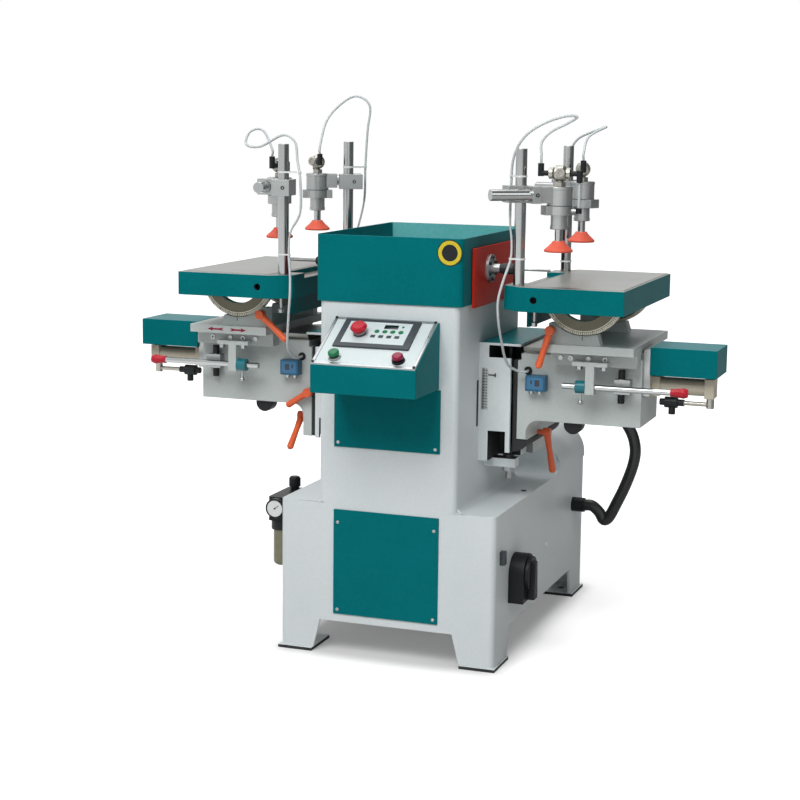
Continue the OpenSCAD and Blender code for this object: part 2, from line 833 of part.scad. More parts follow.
module way_section() {
    mid = knee_front + way_w / 2;
    half = way_w / 2;
    polygon([[mid - half + way_cut, knee_top - eps], [mid + half - way_cut, knee_top - eps],
        [mid + half, saddle_bottom], [mid - half, saddle_bottom]]);
}

module knee_side(leg_drop) {
    leg_out = knee_in + leg_w;
    difference() {
        union() {
            translate([knee_in, knee_bottom]) square([knee_out - knee_in, knee_h]);
            translate([knee_in, knee_bottom - leg_drop]) square([leg_w, leg_drop + eps]);
            translate([leg_out - eps, knee_bottom - knee_r]) square([knee_r + eps, knee_r + eps]);
        }
        translate([leg_out + knee_r, knee_bottom - knee_r]) circle(knee_r);
    }
}

module knee_plan() {
    root_back = knee_front + knee_root_d;
    polygon([[knee_in, knee_front], [knee_out, knee_front], [knee_out, knee_front + knee_arm_d],
        [knee_in + 102, root_back], [knee_in, root_back]]);
}

// The slide that runs on the guide, rounded at its outer lower corner
module slide_side() {
    slide_out = knee_in + leg_w;
    difference() {
        translate([slide_face, slide_bottom]) square([slide_out - slide_face, slide_top - slide_bottom]);
        difference() {
            translate([slide_out - slide_r, slide_bottom - 1]) square(slide_r + 1);
            translate([slide_out - slide_r, slide_bottom + slide_r]) circle(slide_r);
        }
    }
}

module knee(leg_drop) {
    color(grey) difference() {
        union() {
            intersection() {
                xz_pull(knee_front, knee_front + knee_root_d) knee_side(leg_drop);
                linear_extrude(far) knee_plan();
            }
            yz_pull(knee_in + 12, knee_out) way_section();
            xz_pull(slide_front, slide_front + slide_d) slide_side();
            translate([screw_x - 14, screw_y - 14, nut_z]) cube([slide_face - screw_x + 15, 28, nut_h]);
        }
        translate([0, 0, slide_bottom - 1])
            linear_extrude(slide_top - slide_bottom + 2) dovetail_plan(slide_gap);
        translate([guide_x + guide_w, guide_front, slide_top])
            cube([dove_h + 2, guide_d + 30, knee_top - slide_top + 1]);
        translate([screw_x, screw_y, 0]) cylinder(r = screw_r + run_gap, h = far);
        translate([lug_x - feed_stroke - 25, feed_y - feed_channel, feed_z - feed_channel])
            cube([far, 2 * feed_channel, saddle_bottom - feed_z + feed_channel + 1]);
    }
}

module end_cover() {
    color(green) translate([feed_x, end_y, end_z]) difference() {
        cube([end_w, end_d, end_h]);
        translate([2, 2, -1]) cube([end_w - 4, end_d - 4, end_h - 2]);
    }
}

module feed_gear() {
    tube_x = feed_x + head_w;
    cap_x = tube_x + feed_len;
    // bracket on the knee's end, feed cylinder with its heads
    color(steel) difference() {
        translate([knee_out, end_y + 8, feed_z - head_r])
            cube([bracket_w, end_d - 16, end_z + end_h - 6 - feed_z + head_r]);
        translate([0, feed_y, feed_z]) x_cyl(feed_rod_r + 2, knee_out - 1, feed_x + 1);
    }
    color("#b8b09a") translate([0, feed_y, feed_z]) difference() {
        union() {
            translate([feed_x, -head_r, -head_r]) cube([head_w, 2 * head_r, 2 * head_r]);
            x_cyl(feed_r, tube_x - eps, cap_x + eps);
            translate([cap_x, -head_r, -head_r]) cube([cap_w, 2 * head_r, 2 * head_r]);
        }
        x_cyl(feed_rod_r + run_gap, feed_x - 1, tube_x + 1);
        x_cyl(feed_r - 4, tube_x, cap_x);
    }
    // elbow under the cap, and the flow control that a pipe joins to it
    elbow_drop = 16;
    pipe_len = 60;
    flow_len = 58;
    color("#a89f86") translate([cap_x + cap_w / 2, feed_y, feed_z - head_r - elbow_drop]) {
        translate([0, 0, -9]) cylinder(r = 9, h = elbow_drop + 9 + eps);
        x_cyl(5, -pipe_len, 0);
    }
    color(black) translate([cap_x + cap_w / 2 - pipe_len + eps, feed_y, feed_z - head_r - elbow_drop]) {
        x_cyl(8, -flow_len, 0);
        x_cyl(13, -flow_len + 12, -16);
        translate([-flow_len / 2, 0, -28]) cylinder(r = 8, h = 24);
    }
    // trip valve and limit switch on the knee's front
    color(steel) translate([tilt_x + 72, knee_front - 24, stop_z - 16]) cube([38, 24, 34]);
    color(black) for (z = [stop_z + 18, stop_z - 38]) translate([tilt_x + 88, knee_front - 14, z])
        cylinder(r = 8, h = 22);
    color("#1f4f86") translate([knee_in + 26, knee_front - 26, stop_z - 22]) cube([48, 26, 37]);
    color(black) translate([gland_x, 0, gland_z]) y_cyl(10, knee_front - gland_h, knee_front);
    // round cable box under the knee
    color(black) intersection() {
        translate([knee_in + 134, 0, knee_bottom - 6]) y_cyl(22, knee_front + 12, knee_front + 44);
        translate([0, -far / 2, knee_bottom - 60]) cube([far, far, 60]);
    }
}

module cradle(y) {
    difference() {
        translate([arc_x, 0, saddle_top - eps]) xz_pull(y, y + cradle_d)
            polygon([[-cradle_in, 0], [cradle_out, 0], [cradle_out - 8, cradle_low], [0, cradle_low],
                [0, cradle_h], [-cradle_in, cradle_h]]);
        translate([arc_x, 0, tilt_z]) y_cyl(arc_r + slide_gap, y - 1, y + cradle_d + 1);
    }
}

// Dovetail gib under the saddle; the front one also hangs down over the knee's front
module gib(flip, low) {
    mid = knee_front + way_w / 2;
    near = way_w / 2 + slide_gap;
    wide = way_w / 2 + gib_w;
    foot = knee_top + slide_gap;
    yz_pull(saddle_x, saddle_out) translate([mid, 0]) mirror([flip, 0]) polygon([
        [-wide, saddle_bottom + eps], [-near, saddle_bottom + eps], [-near + way_cut, foot],
        [-near, foot], [-near, foot - low], [-wide, foot - low]]);
}

module saddle() {
    web_top = knee_top + slide_gap - gib_drop;
    color(grey) {
        difference() {
            union() {
                translate([saddle_x, saddle_front, saddle_bottom]) cube([saddle_w, saddle_d, saddle_t]);
                gib(0, gib_drop);
                gib(1, eps);
                cradle(saddle_front + 10);
                cradle(rear_cradle_y);
                // stop bracket: flange under the gib's front edge and web down to the rod
                translate([tilt_x - 20, gib_front - stop_t, web_top + 2]) cube([83, stop_t + 1, 10]);
                translate([stop_x, gib_front - stop_t, stop_z - 16])
                    cube([stop_w, stop_t, web_top + 3 - stop_z + 16]);
                // lug that the feed rod is screwed into
                translate([lug_x, feed_y - 20, feed_z - 14])
                    cube([lug_t, 40, saddle_bottom - feed_z + 14 + eps]);
            }
            translate([0, stop_y, stop_z]) x_cyl(stop_r + run_gap, stop_x - 1, stop_x + stop_w + 1);
        }
    }
    color(steel) translate([0, feed_y, feed_z]) {
        piston_x = feed_x + head_w + feed_len - 12 - piston_w;
        x_cyl(feed_rod_r, lug_x + lug_t - eps, piston_x + eps);
        x_cyl(feed_r - 4 - run_gap, piston_x, piston_x + piston_w);
    }
}

module stop_rod() {
    rod_in = stop_x - 56;
    grip_x = stop_x + 198;
    translate([0, stop_y, stop_z]) {
        color(steel) x_cyl(stop_r, rod_in, grip_x + 20);
        color("#d2202c") {
            x_cyl(9, grip_x, grip_x + 8);
            translate([grip_x + 8 - eps, 0, 0]) rotate([0, 90, 0]) cylinder(r1 = 9, r2 = 12, h = 22);
            translate([grip_x + 30 - 2 * eps, 0, 0]) rotate([0, 90, 0]) cylinder(r1 = 12, r2 = 9, h = 9);
        }
    }
}

module stop_collar() {
    translate([0, stop_y, stop_z]) difference() {
        union() {
            color("#0e6f78") x_cyl(collar_r, stop_x - collar_w, stop_x);
            color(steel) translate([stop_x - collar_w / 2, 0, -36]) {
                cylinder(r = 2.5, h = 30);
                sphere(6);
            }
        }
        x_cyl(stop_r + run_gap, stop_x - far, stop_x + 1);
    }
}

// Clamping lever: hub on an axis and a tapered handle, drawn along +Z with the hub on +X
module lever(len, hub_len) {
    color("#7a2c18") x_cyl(6, 0, hub_len);
    color(orange) {
        x_cyl(11, hub_len - 18, hub_len);
        translate([hub_len - 9, 0, 0]) {
            cylinder(r1 = 9, r2 = 7, h = len * 0.45);
            translate([0, 0, len * 0.45 - eps]) cylinder(r1 = 7, r2 = 8.5, h = len * 0.55);
            translate([0, 0, len - 2 * eps]) cylinder(r1 = 8.5, r2 = 5, h = 5);
        }
    }
}

// The tilt lever turns on the front of the cradle, leaning inward by the given angle
module tilt_lever(lean) {
    translate([arc_x - cradle_in + 9, saddle_front + 10, saddle_top + 33])
        rotate([0, 0, -90]) rotate([180 + lean, 0, 0]) lever(88, 29);
}

// The knee lever turns on the slide's outer side.
// k is its place along the knee and below it, its length and its lean
module knee_lever(k) {
    translate([knee_in + leg_w, knee_front + k[0], knee_bottom - k[1]])
        rotate([180 + k[3], 0, 0]) lever(k[2], 32);
}

module lock_lever() {
    translate([knee_in + 4, knee_front, knee_bottom + 32])
        rotate([0, 0, -90]) rotate([180 + 57, 0, 0]) lever(62, 24);
}

// Table

module table_plan() {
    inner = table_in - lug_w;
    for (y = [[table_front, 1], [table_rear, -1]]) translate([0, y[0]]) scale([1, y[1]])
        polygon([[table_in + 1, 0], [table_in, 0], [inner, lug_cut], [inner, lug_d], [table_in + 1, lug_d]]);
    translate([table_in, table_front]) square([table_w, table_d]);
}

module table() {
    inner = table_in - lug_w;
    land = 1;
    color(green) difference() {
        union() {
            translate([0, 0, table_bottom]) linear_extrude(table_t - land) table_plan();
            translate([inner, table_front + 40, table_bottom])
                cube([lug_w + 1, table_d - 80, table_t - 13]);
            // apron below the inner end
            translate([table_in - 14, table_front + 109, table_bottom - 47])
                cube([8, 305, 48]);
        }
        for (y = [front_post_y, rear_post_y]) translate([post_x, y, table_bottom + 5])
            cylinder(r = post_r + run_gap, h = far);
        // screw holes that lock the posts
        translate([table_in + 31, 0, table_z - 30]) y_cyl(8, table_front - 1, table_front + 22);
    }
    color(steel) translate([table_in + 7, table_front + 19, table_z - land - eps])
        cube([table_w - 13, table_d - 24, land + eps]);
    // levelling screw under the inner end
    color(steel) translate([table_in + 9, table_front + 94, table_bottom - level_len]) {
        cylinder(r = 4, h = level_len + eps);
        cylinder(r = 8, h = 10, $fn = 6);
    }
    // bulkhead union behind the rear post
    color(black) translate([union_x, union_y, table_z - land - eps])
        cylinder(r = 5, h = union_h + land + eps);
}

// The front edge of an arc is bevelled for its scale
module tilt_arcs() {
    color("#b9b29c") for (y = [saddle_front + 12, rear_cradle_y + 5])
        translate([arc_x, 0, 0]) intersection() {
            translate([0, 0, tilt_z]) difference() {
                union() {
                    y_cyl(arc_r, y + arc_bevel, y + arc_t);
                    translate([0, y + arc_bevel + eps, 0]) rotate([90, 0, 0])
                        cylinder(r1 = arc_r, r2 = arc_r - arc_bevel, h = arc_bevel + eps);
                }
                y_cyl(arc_r - arc_w, y - 1, y + arc_t + 1);
            }
            translate([-far / 2, y, 0]) cube([far, arc_t, table_bottom]);
        }
}

// Clamps: post, cross block, arm with its air cylinder, piston with its pad

module post(y) {
    color("#d5d8d9") translate([post_x, y, table_bottom + 5])
        cylinder(r = post_r, h = table_t - 5 + post_h);
}

// Puts things in a clamp's own frame: X along its bar, the post at the origin
module clamp_frame(y, c) {
    translate([post_x, y, 0]) rotate([0, 0, c[0]]) mirror([0, c[1] > 0 ? 1 : 0, 0]) children();
}

module clamp_block(y, c) {
    color("#9b9fa1") clamp_frame(y, c) difference() {
        translate([0, 0, bar_z - block_h / 2]) linear_extrude(block_h) union() {
            translate([-block_back, -eye_wall]) square([block_back + block_out, eye_wall + post_wall]);
            translate([c[4], -bar_off - block_wall])
                square([c[5] - c[4], bar_off + block_wall - eye_wall + eps]);
        }
        cylinder(r = post_r + run_gap, h = far);
        translate([0, -bar_off, bar_z]) x_cyl(bar_r + run_gap, -far, far);
    }
}

module clamp_arm(y, c) {
    reach = c[2];
    floor_z = body_top - body_h - flange_h;
    holder_x = reach - bar_r - holder_w - 6;
    color("#c3c6c8") clamp_frame(y, c) {
        translate([0, -bar_off, bar_z]) x_cyl(bar_r, -c[6], holder_x + eps);
        difference() {
            union() {
                translate([holder_x, -bar_off - 18, bar_z - 18]) cube([holder_w, 36, 36]);
                translate([reach, -bar_off, floor_z]) {
                    cylinder(r = cyl_r, h = flange_h + body_h);
                    translate([-flange_w / 2, -flange_d / 2, 0]) cube([flange_w, flange_d, flange_h]);
                    translate([0, 0, -neck_h]) cylinder(r = neck_r, h = neck_h + eps);
                }
            }
            translate([reach, -bar_off, floor_z + 8])
                cylinder(r = bore_r, h = body_h + flange_h - 8 - top_wall);
            translate([reach, -bar_off, floor_z - neck_h - 1])
                cylinder(r = rod_r + run_gap, h = neck_h + 20);
        }
    }
    // tee on top with its two elbows, and the short line to the lower port
    clamp_frame(y, c) translate([reach, -bar_off, 0]) rotate([0, 0, c[1] * (c[0] - c[3])]) {
        color("#b9b5a6") {
            translate([0, 0, body_top - eps]) cylinder(r = fit_r, h = tee_z - body_top);
            translate([0, 0, tee_z]) x_cyl(fit_r + 4, -24, 24);
        }
        color(black) {
            translate([0, 0, tee_z]) x_cyl(fit_r - 1, -tee_len, -24 + eps);
            translate([0, 0, tee_z]) x_cyl(fit_r - 1, 24 - eps, tee_len);
            translate([tee_len, 0, tee_z - fit_r]) cylinder(r = fit_r, h = elbow_h + fit_r);
            translate([-tee_len, 0, tee_z - 20]) cylinder(r = fit_r, h = 20 + fit_r);
            translate([-tee_len, 0, floor_z + 4]) cylinder(r = fit_r, h = 12);
            translate([0, 0, floor_z + 10]) x_cyl(fit_r - 2, -tee_len, -cyl_r + 3);
        }
        color([0.85, 0.88, 0.9]) translate([-tee_len, 0, floor_z + 16 - eps])
            cylinder(r = tube_r, h = tee_z - 20 - floor_z - 16 + 2 * eps);
    }
}

module clamp_piston(y, c) {
    floor_z = body_top - body_h - flange_h;
    top = floor_z + body_h + flange_h - top_wall;
    clamp_frame(y, c) translate([c[2], -bar_off, 0]) {
        color("#c8cacb") {
            translate([0, 0, pad_z + pad_h - eps])
                cylinder(r = rod_r, h = top - piston_h - pad_z - pad_h + 2 * eps);
            translate([0, 0, top - piston_h]) cylinder(r = bore_r - run_gap, h = piston_h);
        }
        color("#ee6a4c") translate([0, 0, pad_z]) rotate_extrude()
            polygon([[0, 0], [pad_r - 2, 0], [pad_r, 2], [pad_r, 5], [pad_r - 3, 8], [pad_r - 10, 14],
                [rod_r + 8, 20], [rod_r + 4, pad_h], [0, pad_h]]);
    }
}

module air_tubes(a, b) {
    color([0.85, 0.88, 0.9]) {
        tube(a, tube_r, 8);
        tube(b, tube_r, 8);
    }
}

base_column();
front_panels();
hood();
console_box();
console_panel();
emergency_stop();
start_button();
stop_button();
main_switch_body();
main_switch_handle();
air_service_unit();
regulator_knob();
dust_hose();
slide_guides();
carriage_guide();
spindle_carriage();
shield_plates();
spindle();
cutter_chucks();

knee(leg_drop_right);  // right_knee
color(steel) lift_screw();  // right_lift_screw
end_cover();  // right_end_cover
feed_gear();  // right_feed_gear
saddle();  // right_saddle
stop_rod();  // right_stop_rod
stop_collar();  // right_stop_collar
tilt_lever(-17);  // right_tilt_lever
knee_lever(lever_right);  // right_knee_lever
table();  // right_table
tilt_arcs();  // right_tilt_arcs
post(front_post_y);  // right_front_post
post(rear_post_y);  // right_rear_post
clamp_block(front_post_y, clamp_rf);  // right_front_block
clamp_block(rear_post_y, clamp_rr);  // right_rear_block
clamp_arm(front_post_y, clamp_rf);  // right_front_arm
clamp_arm(rear_post_y, clamp_rr);  // right_rear_arm
clamp_piston(front_post_y, clamp_rf);  // right_front_piston
clamp_piston(rear_post_y, clamp_rr);  // right_rear_piston
air_tubes(rf_route, rr_route);  // right_air_tubes

side(-1) knee(leg_drop_left);  // left_knee
color(steel) side(-1) lift_screw();  // left_lift_screw
side(-1) end_cover();  // left_end_cover
side(-1) feed_gear();  // left_feed_gear
side(-1) saddle();  // left_saddle
side(-1) stop_rod();  // left_stop_rod
side(-1) stop_collar();  // left_stop_collar
side(-1) tilt_lever(-49);  // left_tilt_lever
side(-1) knee_lever(lever_left);  // left_knee_lever
side(-1) lock_lever();  // left_lock_lever
side(-1) table();  // left_table
side(-1) tilt_arcs();  // left_tilt_arcs
side(-1) post(front_post_y);  // left_front_post
side(-1) post(rear_post_y);  // left_rear_post
side(-1) clamp_block(front_post_y, clamp_lf);  // left_front_block
side(-1) clamp_block(rear_post_y, clamp_lr);  // left_rear_block
side(-1) clamp_arm(front_post_y, clamp_lf);  // left_front_arm
side(-1) clamp_arm(rear_post_y, clamp_lr);  // left_rear_arm
side(-1) clamp_piston(front_post_y, clamp_lf);  // left_front_piston
side(-1) clamp_piston(rear_post_y, clamp_lr);  // left_rear_piston
side(-1) air_tubes(lf_route, lr_route);  // left_air_tubes
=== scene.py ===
import json
import math

import bmesh
import bpy
from mathutils import Matrix, Vector
from mathutils.bvhtree import BVHTree


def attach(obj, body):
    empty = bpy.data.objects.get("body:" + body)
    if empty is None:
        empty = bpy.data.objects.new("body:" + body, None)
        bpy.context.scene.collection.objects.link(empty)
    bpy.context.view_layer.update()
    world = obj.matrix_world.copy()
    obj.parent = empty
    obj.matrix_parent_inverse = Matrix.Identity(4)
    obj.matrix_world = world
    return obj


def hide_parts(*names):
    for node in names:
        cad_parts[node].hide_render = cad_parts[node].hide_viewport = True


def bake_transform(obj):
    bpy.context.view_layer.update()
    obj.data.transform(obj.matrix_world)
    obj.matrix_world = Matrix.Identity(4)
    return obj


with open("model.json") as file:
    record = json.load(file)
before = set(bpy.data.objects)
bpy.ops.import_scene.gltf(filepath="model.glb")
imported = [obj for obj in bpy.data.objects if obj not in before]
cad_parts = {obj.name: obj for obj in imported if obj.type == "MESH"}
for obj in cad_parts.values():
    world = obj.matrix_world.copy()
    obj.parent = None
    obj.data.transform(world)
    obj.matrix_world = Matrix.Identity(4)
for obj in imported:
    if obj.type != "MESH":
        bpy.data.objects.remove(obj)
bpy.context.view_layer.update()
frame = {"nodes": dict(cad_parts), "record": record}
mm = 0.001
scene = bpy.context.scene
record = frame["record"]
bodyOf = {node: body for body, nodes in record["behaviour"]["bodies"].items() for node in nodes}
sides = {"right": 1, "left": -1}
print("frame loaded:", len(bodyOf), "nodes")


def linear(hexColour):
    parts = [int(hexColour[i:i + 2], 16) / 255 for i in (1, 3, 5)]
    return tuple(c / 12.92 if c <= 0.04045 else ((c + 0.055) / 1.055) ** 2.4 for c in parts) + (1.0,)


def addNode(tree, kind, inputs=None, **settings):
    node = tree.nodes.new(kind)
    for key, value in settings.items():
        setattr(node, key, value)
    for key, value in (inputs or {}).items():
        if isinstance(value, bpy.types.NodeSocket):
            tree.links.new(value, node.inputs[key])
        else:
            node.inputs[key].default_value = value
    return node


# Camera at the photograph's viewing angle: place in mm, angles in degrees
cameraLook = {"place": (1431, -4265, 1296), "yaw": 19.96, "pitch": 9.24, "roll": 0.71, "lens": 80.4,
              "sensor": 36, "farthest": 60}


def addCamera(look):
    yaw, pitch, roll = (math.radians(look[key]) for key in ("yaw", "pitch", "roll"))
    ahead = Vector((-math.sin(yaw) * math.cos(pitch), math.cos(yaw) * math.cos(pitch), -math.sin(pitch)))
    level = Vector((math.cos(yaw), math.sin(yaw), 0))
    upright = level.cross(ahead)
    right = math.cos(roll) * level + math.sin(roll) * upright
    up = math.cos(roll) * upright - math.sin(roll) * level
    data = bpy.data.cameras.new("viewCamera")
    data.lens = look["lens"]
    data.sensor_width = look["sensor"]
    data.clip_end = look["farthest"]
    camera = bpy.data.objects.new("viewCamera", data)
    turn = Matrix((right, up, -ahead)).transposed().to_4x4()
    camera.matrix_world = Matrix.Translation(Vector(look["place"]) * mm) @ turn
    scene.collection.objects.link(camera)
    scene.camera = camera


addCamera(cameraLook)

# Materials: every finish has a fine grain, a broad unevenness, a varying roughness and a little relief.
# Grain and patch are sizes in millimetres
finishes = {}
mixRange = {"From Min": 0.75, "From Max": 1.25}  # the span of grain and unevenness added up
reliefDepth = 0.0006


def makeFinish(name, base, tint, grain, rough, metallic=0.0, bump=0.1, stretch=(1, 1, 1), patch=140,
               **sockets):
    material = bpy.data.materials.new(name)
    material.use_nodes = True
    tree = material.node_tree
    tree.nodes.clear()
    place = addNode(tree, "ShaderNodeTexCoord").outputs["Object"]
    drawn = addNode(tree, "ShaderNodeMapping", {"Vector": place, "Scale": stretch})
    fine = addNode(tree, "ShaderNodeTexNoise",
                   {"Vector": drawn.outputs[0], "Scale": 1000 / grain, "Detail": 3.0})
    broad = addNode(tree, "ShaderNodeTexNoise", {"Vector": place, "Scale": 1000 / patch, "Detail": 2.0})
    spread = addNode(tree, "ShaderNodeMath", {0: fine.outputs[0], 1: broad.outputs[0]}, operation="ADD")
    share = addNode(tree, "ShaderNodeMapRange", {"Value": spread.outputs[0], **mixRange})
    colour = addNode(tree, "ShaderNodeMix", {0: share.outputs[0], 6: linear(base), 7: linear(tint)},
                     data_type="RGBA")
    polish = addNode(tree, "ShaderNodeMapRange",
                     {"Value": spread.outputs[0], **mixRange, "To Min": rough[0], "To Max": rough[1]})
    relief = addNode(tree, "ShaderNodeBump",
                     {"Height": fine.outputs[0], "Strength": bump, "Distance": reliefDepth})
    others = {key.replace("_", " "): value for key, value in sockets.items()}
    shader = addNode(tree, "ShaderNodeBsdfPrincipled",
                     {"Base Color": colour.outputs[2], "Roughness": polish.outputs[0],
                      "Normal": relief.outputs[0], "Metallic": metallic, **others})
    addNode(tree, "ShaderNodeOutputMaterial", {"Surface": shader.outputs[0]})
    finishes[name] = material


# Sprayed enamel on sheet steel: even colour, soft gloss, orange peel drawn at 7 mm so that it shows
makeFinish("greyEnamel", "#D3DADC", "#D9DFE1", 7, (0.36, 0.44), bump=0.02, IOR=1.4)
# Grey enamel on the castings, painted a shade darker as painted shade under the tables, with a little
# more relief
makeFinish("shadedGreyEnamel", "#B8BFBD", "#BFC6C4", 7, (0.38, 0.46), bump=0.03, IOR=1.4)
# Teal enamel of covers, hood and tables: deep and even, with little mirror gloss
makeFinish("tealEnamel", "#006A6F", "#037076", 7, (0.30, 0.38), bump=0.02, IOR=1.12)
# Red enamel of the spindle shields: the same, with its peel drawn at 5 mm
makeFinish("redEnamel", "#C42A1A", "#CC3220", 5, (0.28, 0.38), bump=0.03, IOR=1.12)
# The hood's tray: the same teal painted paler, a painted pool of light where the light falls in
makeFinish("paintedLightTeal", "#5BAAAB", "#69B5B5", 9, (0.5, 0.62), bump=0.04, IOR=1.3)
# Surface-ground cast iron: warm grey and half dull, its straight grinding lay drawn 1.2 mm wide
makeFinish("groundIron", "#858782", "#9A9C97", 1.2, (0.30, 0.46), metallic=0.75, bump=0.12,
           stretch=(0.03, 1, 1))
# Bare casting of the arcs' rims: pale cream painted brighter than the metal, painted light standing in
# for the floor's bounce, dull and slightly mottled
makeFinish("paintedBrightCasting", "#E2DBC6", "#EFE9D8", 3, (0.42, 0.56), metallic=0.1, bump=0.2, patch=40)
# Oiled casting of the arcs' faces: dark olive brown with a dull sheen
makeFinish("oiledCasting", "#5F5B4C", "#716C5C", 3, (0.4, 0.55), metallic=0.4, bump=0.2, patch=40)
# Grey cast iron of the carriage: dull, with a sand-cast skin
makeFinish("castIron", "#6E7274", "#7D8183", 3, (0.5, 0.62), metallic=0.4, bump=0.25, patch=50)
# Hard-chromed bar: mirror gloss with faint drawing lines along the posts, 1.5 mm wide so that they show
makeFinish("chromedBar", "#A6A9A9", "#B2B4B4", 1.5, (0.10, 0.18), metallic=1.0, bump=0.02,
           stretch=(1, 1, 0.03))
# Turned and milled steel: bright, with tool lines drawn 1.2 mm wide
makeFinish("milledSteel", "#989B9C", "#ACAEAF", 1.2, (0.26, 0.38), metallic=0.95, bump=0.08,
           stretch=(1, 0.1, 1))
# Blackened steel of the collets and cap screws: dark with a slight sheen
makeFinish("blackenedSteel", "#1B1D1F", "#282B2D", 2, (0.4, 0.55), metallic=0.4, bump=0.08)
# Natural anodised aluminium: pale, satin, finely matt
makeFinish("anodisedAluminium", "#9B9F9F", "#A9ACAB", 1.5, (0.28, 0.38), metallic=0.85, bump=0.05)
# Nickel-plated brass of the air fittings: warm silver
makeFinish("nickelBrass", "#93918A", "#A8A69E", 2, (0.25, 0.36), metallic=0.9, bump=0.05)
# Beige enamel of the feed cylinder: plain and a little dull
makeFinish("beigeEnamel", "#B5AE9B", "#C2BBA9", 4, (0.34, 0.46), bump=0.05, IOR=1.5)
# Moulded ABS and nylon: even colour, soft highlight, spark-eroded texture drawn coarse to show
makeFinish("blackAbs", "#15171A", "#1E2123", 1.5, (0.38, 0.5), bump=0.1, IOR=1.3)
makeFinish("slateAbs", "#2B3138", "#363D44", 1.5, (0.36, 0.46), bump=0.08, IOR=1.46)
makeFinish("redAbs", "#AE0E24", "#BA182C", 2, (0.24, 0.34), bump=0.04, IOR=1.35)
makeFinish("crimsonAbs", "#840A32", "#90123A", 2, (0.26, 0.36), bump=0.04, IOR=1.35)
makeFinish("greenAbs", "#0F6A42", "#19774C", 2, (0.26, 0.36), bump=0.04, IOR=1.35)
makeFinish("orangeNylon", "#DE5A2E", "#E96A3C", 2, (0.32, 0.42), bump=0.06, IOR=1.46)
makeFinish("blueAbs", "#185474", "#226586", 2, (0.34, 0.44), bump=0.06, IOR=1.46)
makeFinish("tealNylon", "#0B6873", "#14747F", 2, (0.32, 0.42), bump=0.06, IOR=1.46)
makeFinish("paleBlueAbs", "#336C95", "#447CA4", 2, (0.32, 0.42), bump=0.06, IOR=1.46)
makeFinish("whiteNylon", "#DDE0DF", "#E8EAE9", 2, (0.4, 0.5), bump=0.05, IOR=1.46)
# Cast polyurethane pad: dull orange-red with a rubbery skin
makeFinish("orangePolyurethane", "#E2563F", "#EC6850", 3, (0.45, 0.58), bump=0.1, IOR=1.5)
# Printed aluminium sheet of the console: pale, with a fine even speckle
makeFinish("printedSheet", "#C2CDCF", "#CED8D9", 2, (0.36, 0.44), bump=0.04, IOR=1.5)
# Extruded rubber hose: deep black with a soft sheen
makeFinish("hoseRubber", "#141517", "#1E2022", 3, (0.32, 0.44), bump=0.08, IOR=1.52)
# Milky polyurethane air tube: grey-white with a soft gloss
makeFinish("airTube", "#BEC4C6", "#CBD0D1", 6, (0.34, 0.42), bump=0.01, IOR=1.35)
# Smoked polycarbonate bowl: olive, glossy and partly see-through
makeFinish("smokedPolycarbonate", "#6B6A48", "#7C7A55", 12, (0.12, 0.2), bump=0.02, IOR=1.58,
           Transmission_Weight=0.35)
# Float glass over the display: black and mirror smooth
makeFinish("displayGlass", "#08090A", "#101214", 8, (0.06, 0.1), bump=0.01, IOR=1.5)
# Signal yellow enamel of the round badge: bright and smooth
makeFinish("yellowEnamel", "#C9B41C", "#D6C22C", 4, (0.3, 0.4), bump=0.03, IOR=1.5)
# Near black and dull: painted shade inside hollows, holes and slots, the real scale marks, and the foot
# plates' edges, partly painted contact shadow
makeFinish("nearBlackMarksAndShade", "#1C1E1F", "#26292A", 5, (0.6, 0.75), bump=0.1, IOR=1.45)
print("finishes:", len(finishes))


# Meshes
def settle(piece):  # what the modifiers make becomes the plain mesh
    graph = bpy.context.evaluated_depsgraph_get()
    solid = bpy.data.meshes.new_from_object(piece.evaluated_get(graph), depsgraph=graph)
    piece.modifiers.clear()
    piece.data = solid


def addPiece(name, work):
    mesh = bpy.data.meshes.new(name)
    work.to_mesh(mesh)
    work.free()
    piece = bpy.data.objects.new(name, mesh)
    scene.collection.objects.link(piece)
    return piece


def paint(piece, chooser):
    mesh = piece.data
    names = []
    mesh.materials.clear()
    for face in mesh.polygons:
        name = chooser(face.center * 1000, face.normal) if callable(chooser) else chooser
        if name not in names:
            names.append(name)
        face.material_index = names.index(name)
    for name in names:
        mesh.materials.append(finishes[name])


# Merging distance in mm, flat and sharp angles, and how many edge widths an eased corner may stray
dressLook = {"melt": 0.02, "flat": 0.5, "sharp": 38, "stray": 1.5}


def dress(node, chooser, edge=1.0, steps=2):  # a node's own shape, eased edges and finishes
    work = bmesh.new()
    work.from_mesh(frame["nodes"][node].data)
    bmesh.ops.remove_doubles(work, verts=work.verts, dist=dressLook["melt"] * mm)
    bmesh.ops.dissolve_limit(work, angle_limit=math.radians(dressLook["flat"]), verts=work.verts,
                             edges=work.edges)
    bmesh.ops.connect_verts_concave(work, faces=work.faces)
    for face in work.faces:
        face.smooth = True
    shape = BVHTree.FromBMesh(work)
    piece = addPiece("dressed_" + node, work)
    bevel = piece.modifiers.new("easedEdges", "BEVEL")
    bevel.width = edge * mm
    bevel.segments = steps
    bevel.limit_method = "ANGLE"
    bevel.angle_limit = math.radians(dressLook["sharp"])
    bevel.use_clamp_overlap = False
    piece.modifiers.new("flatFaces", "WEIGHTED_NORMAL")
    settle(piece)
    for corner in piece.data.vertices:  # an eased corner that runs off goes back to the node's surface
        place, normal, face, gap = shape.find_nearest(corner.co)
        if gap > dressLook["stray"] * edge * mm:
            corner.co = place
    paint(piece, chooser)
    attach(piece, bodyOf[node])
    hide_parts(node)


# Air tubes and hose come first. Their routes are in millimetres and as in the part's source,
# except that the front tubes run nearer to their posts
postX = 293
frontPostY = -347
rearPostY = 69
teeTop = 1180
barOff = 46
elbowOut = 45
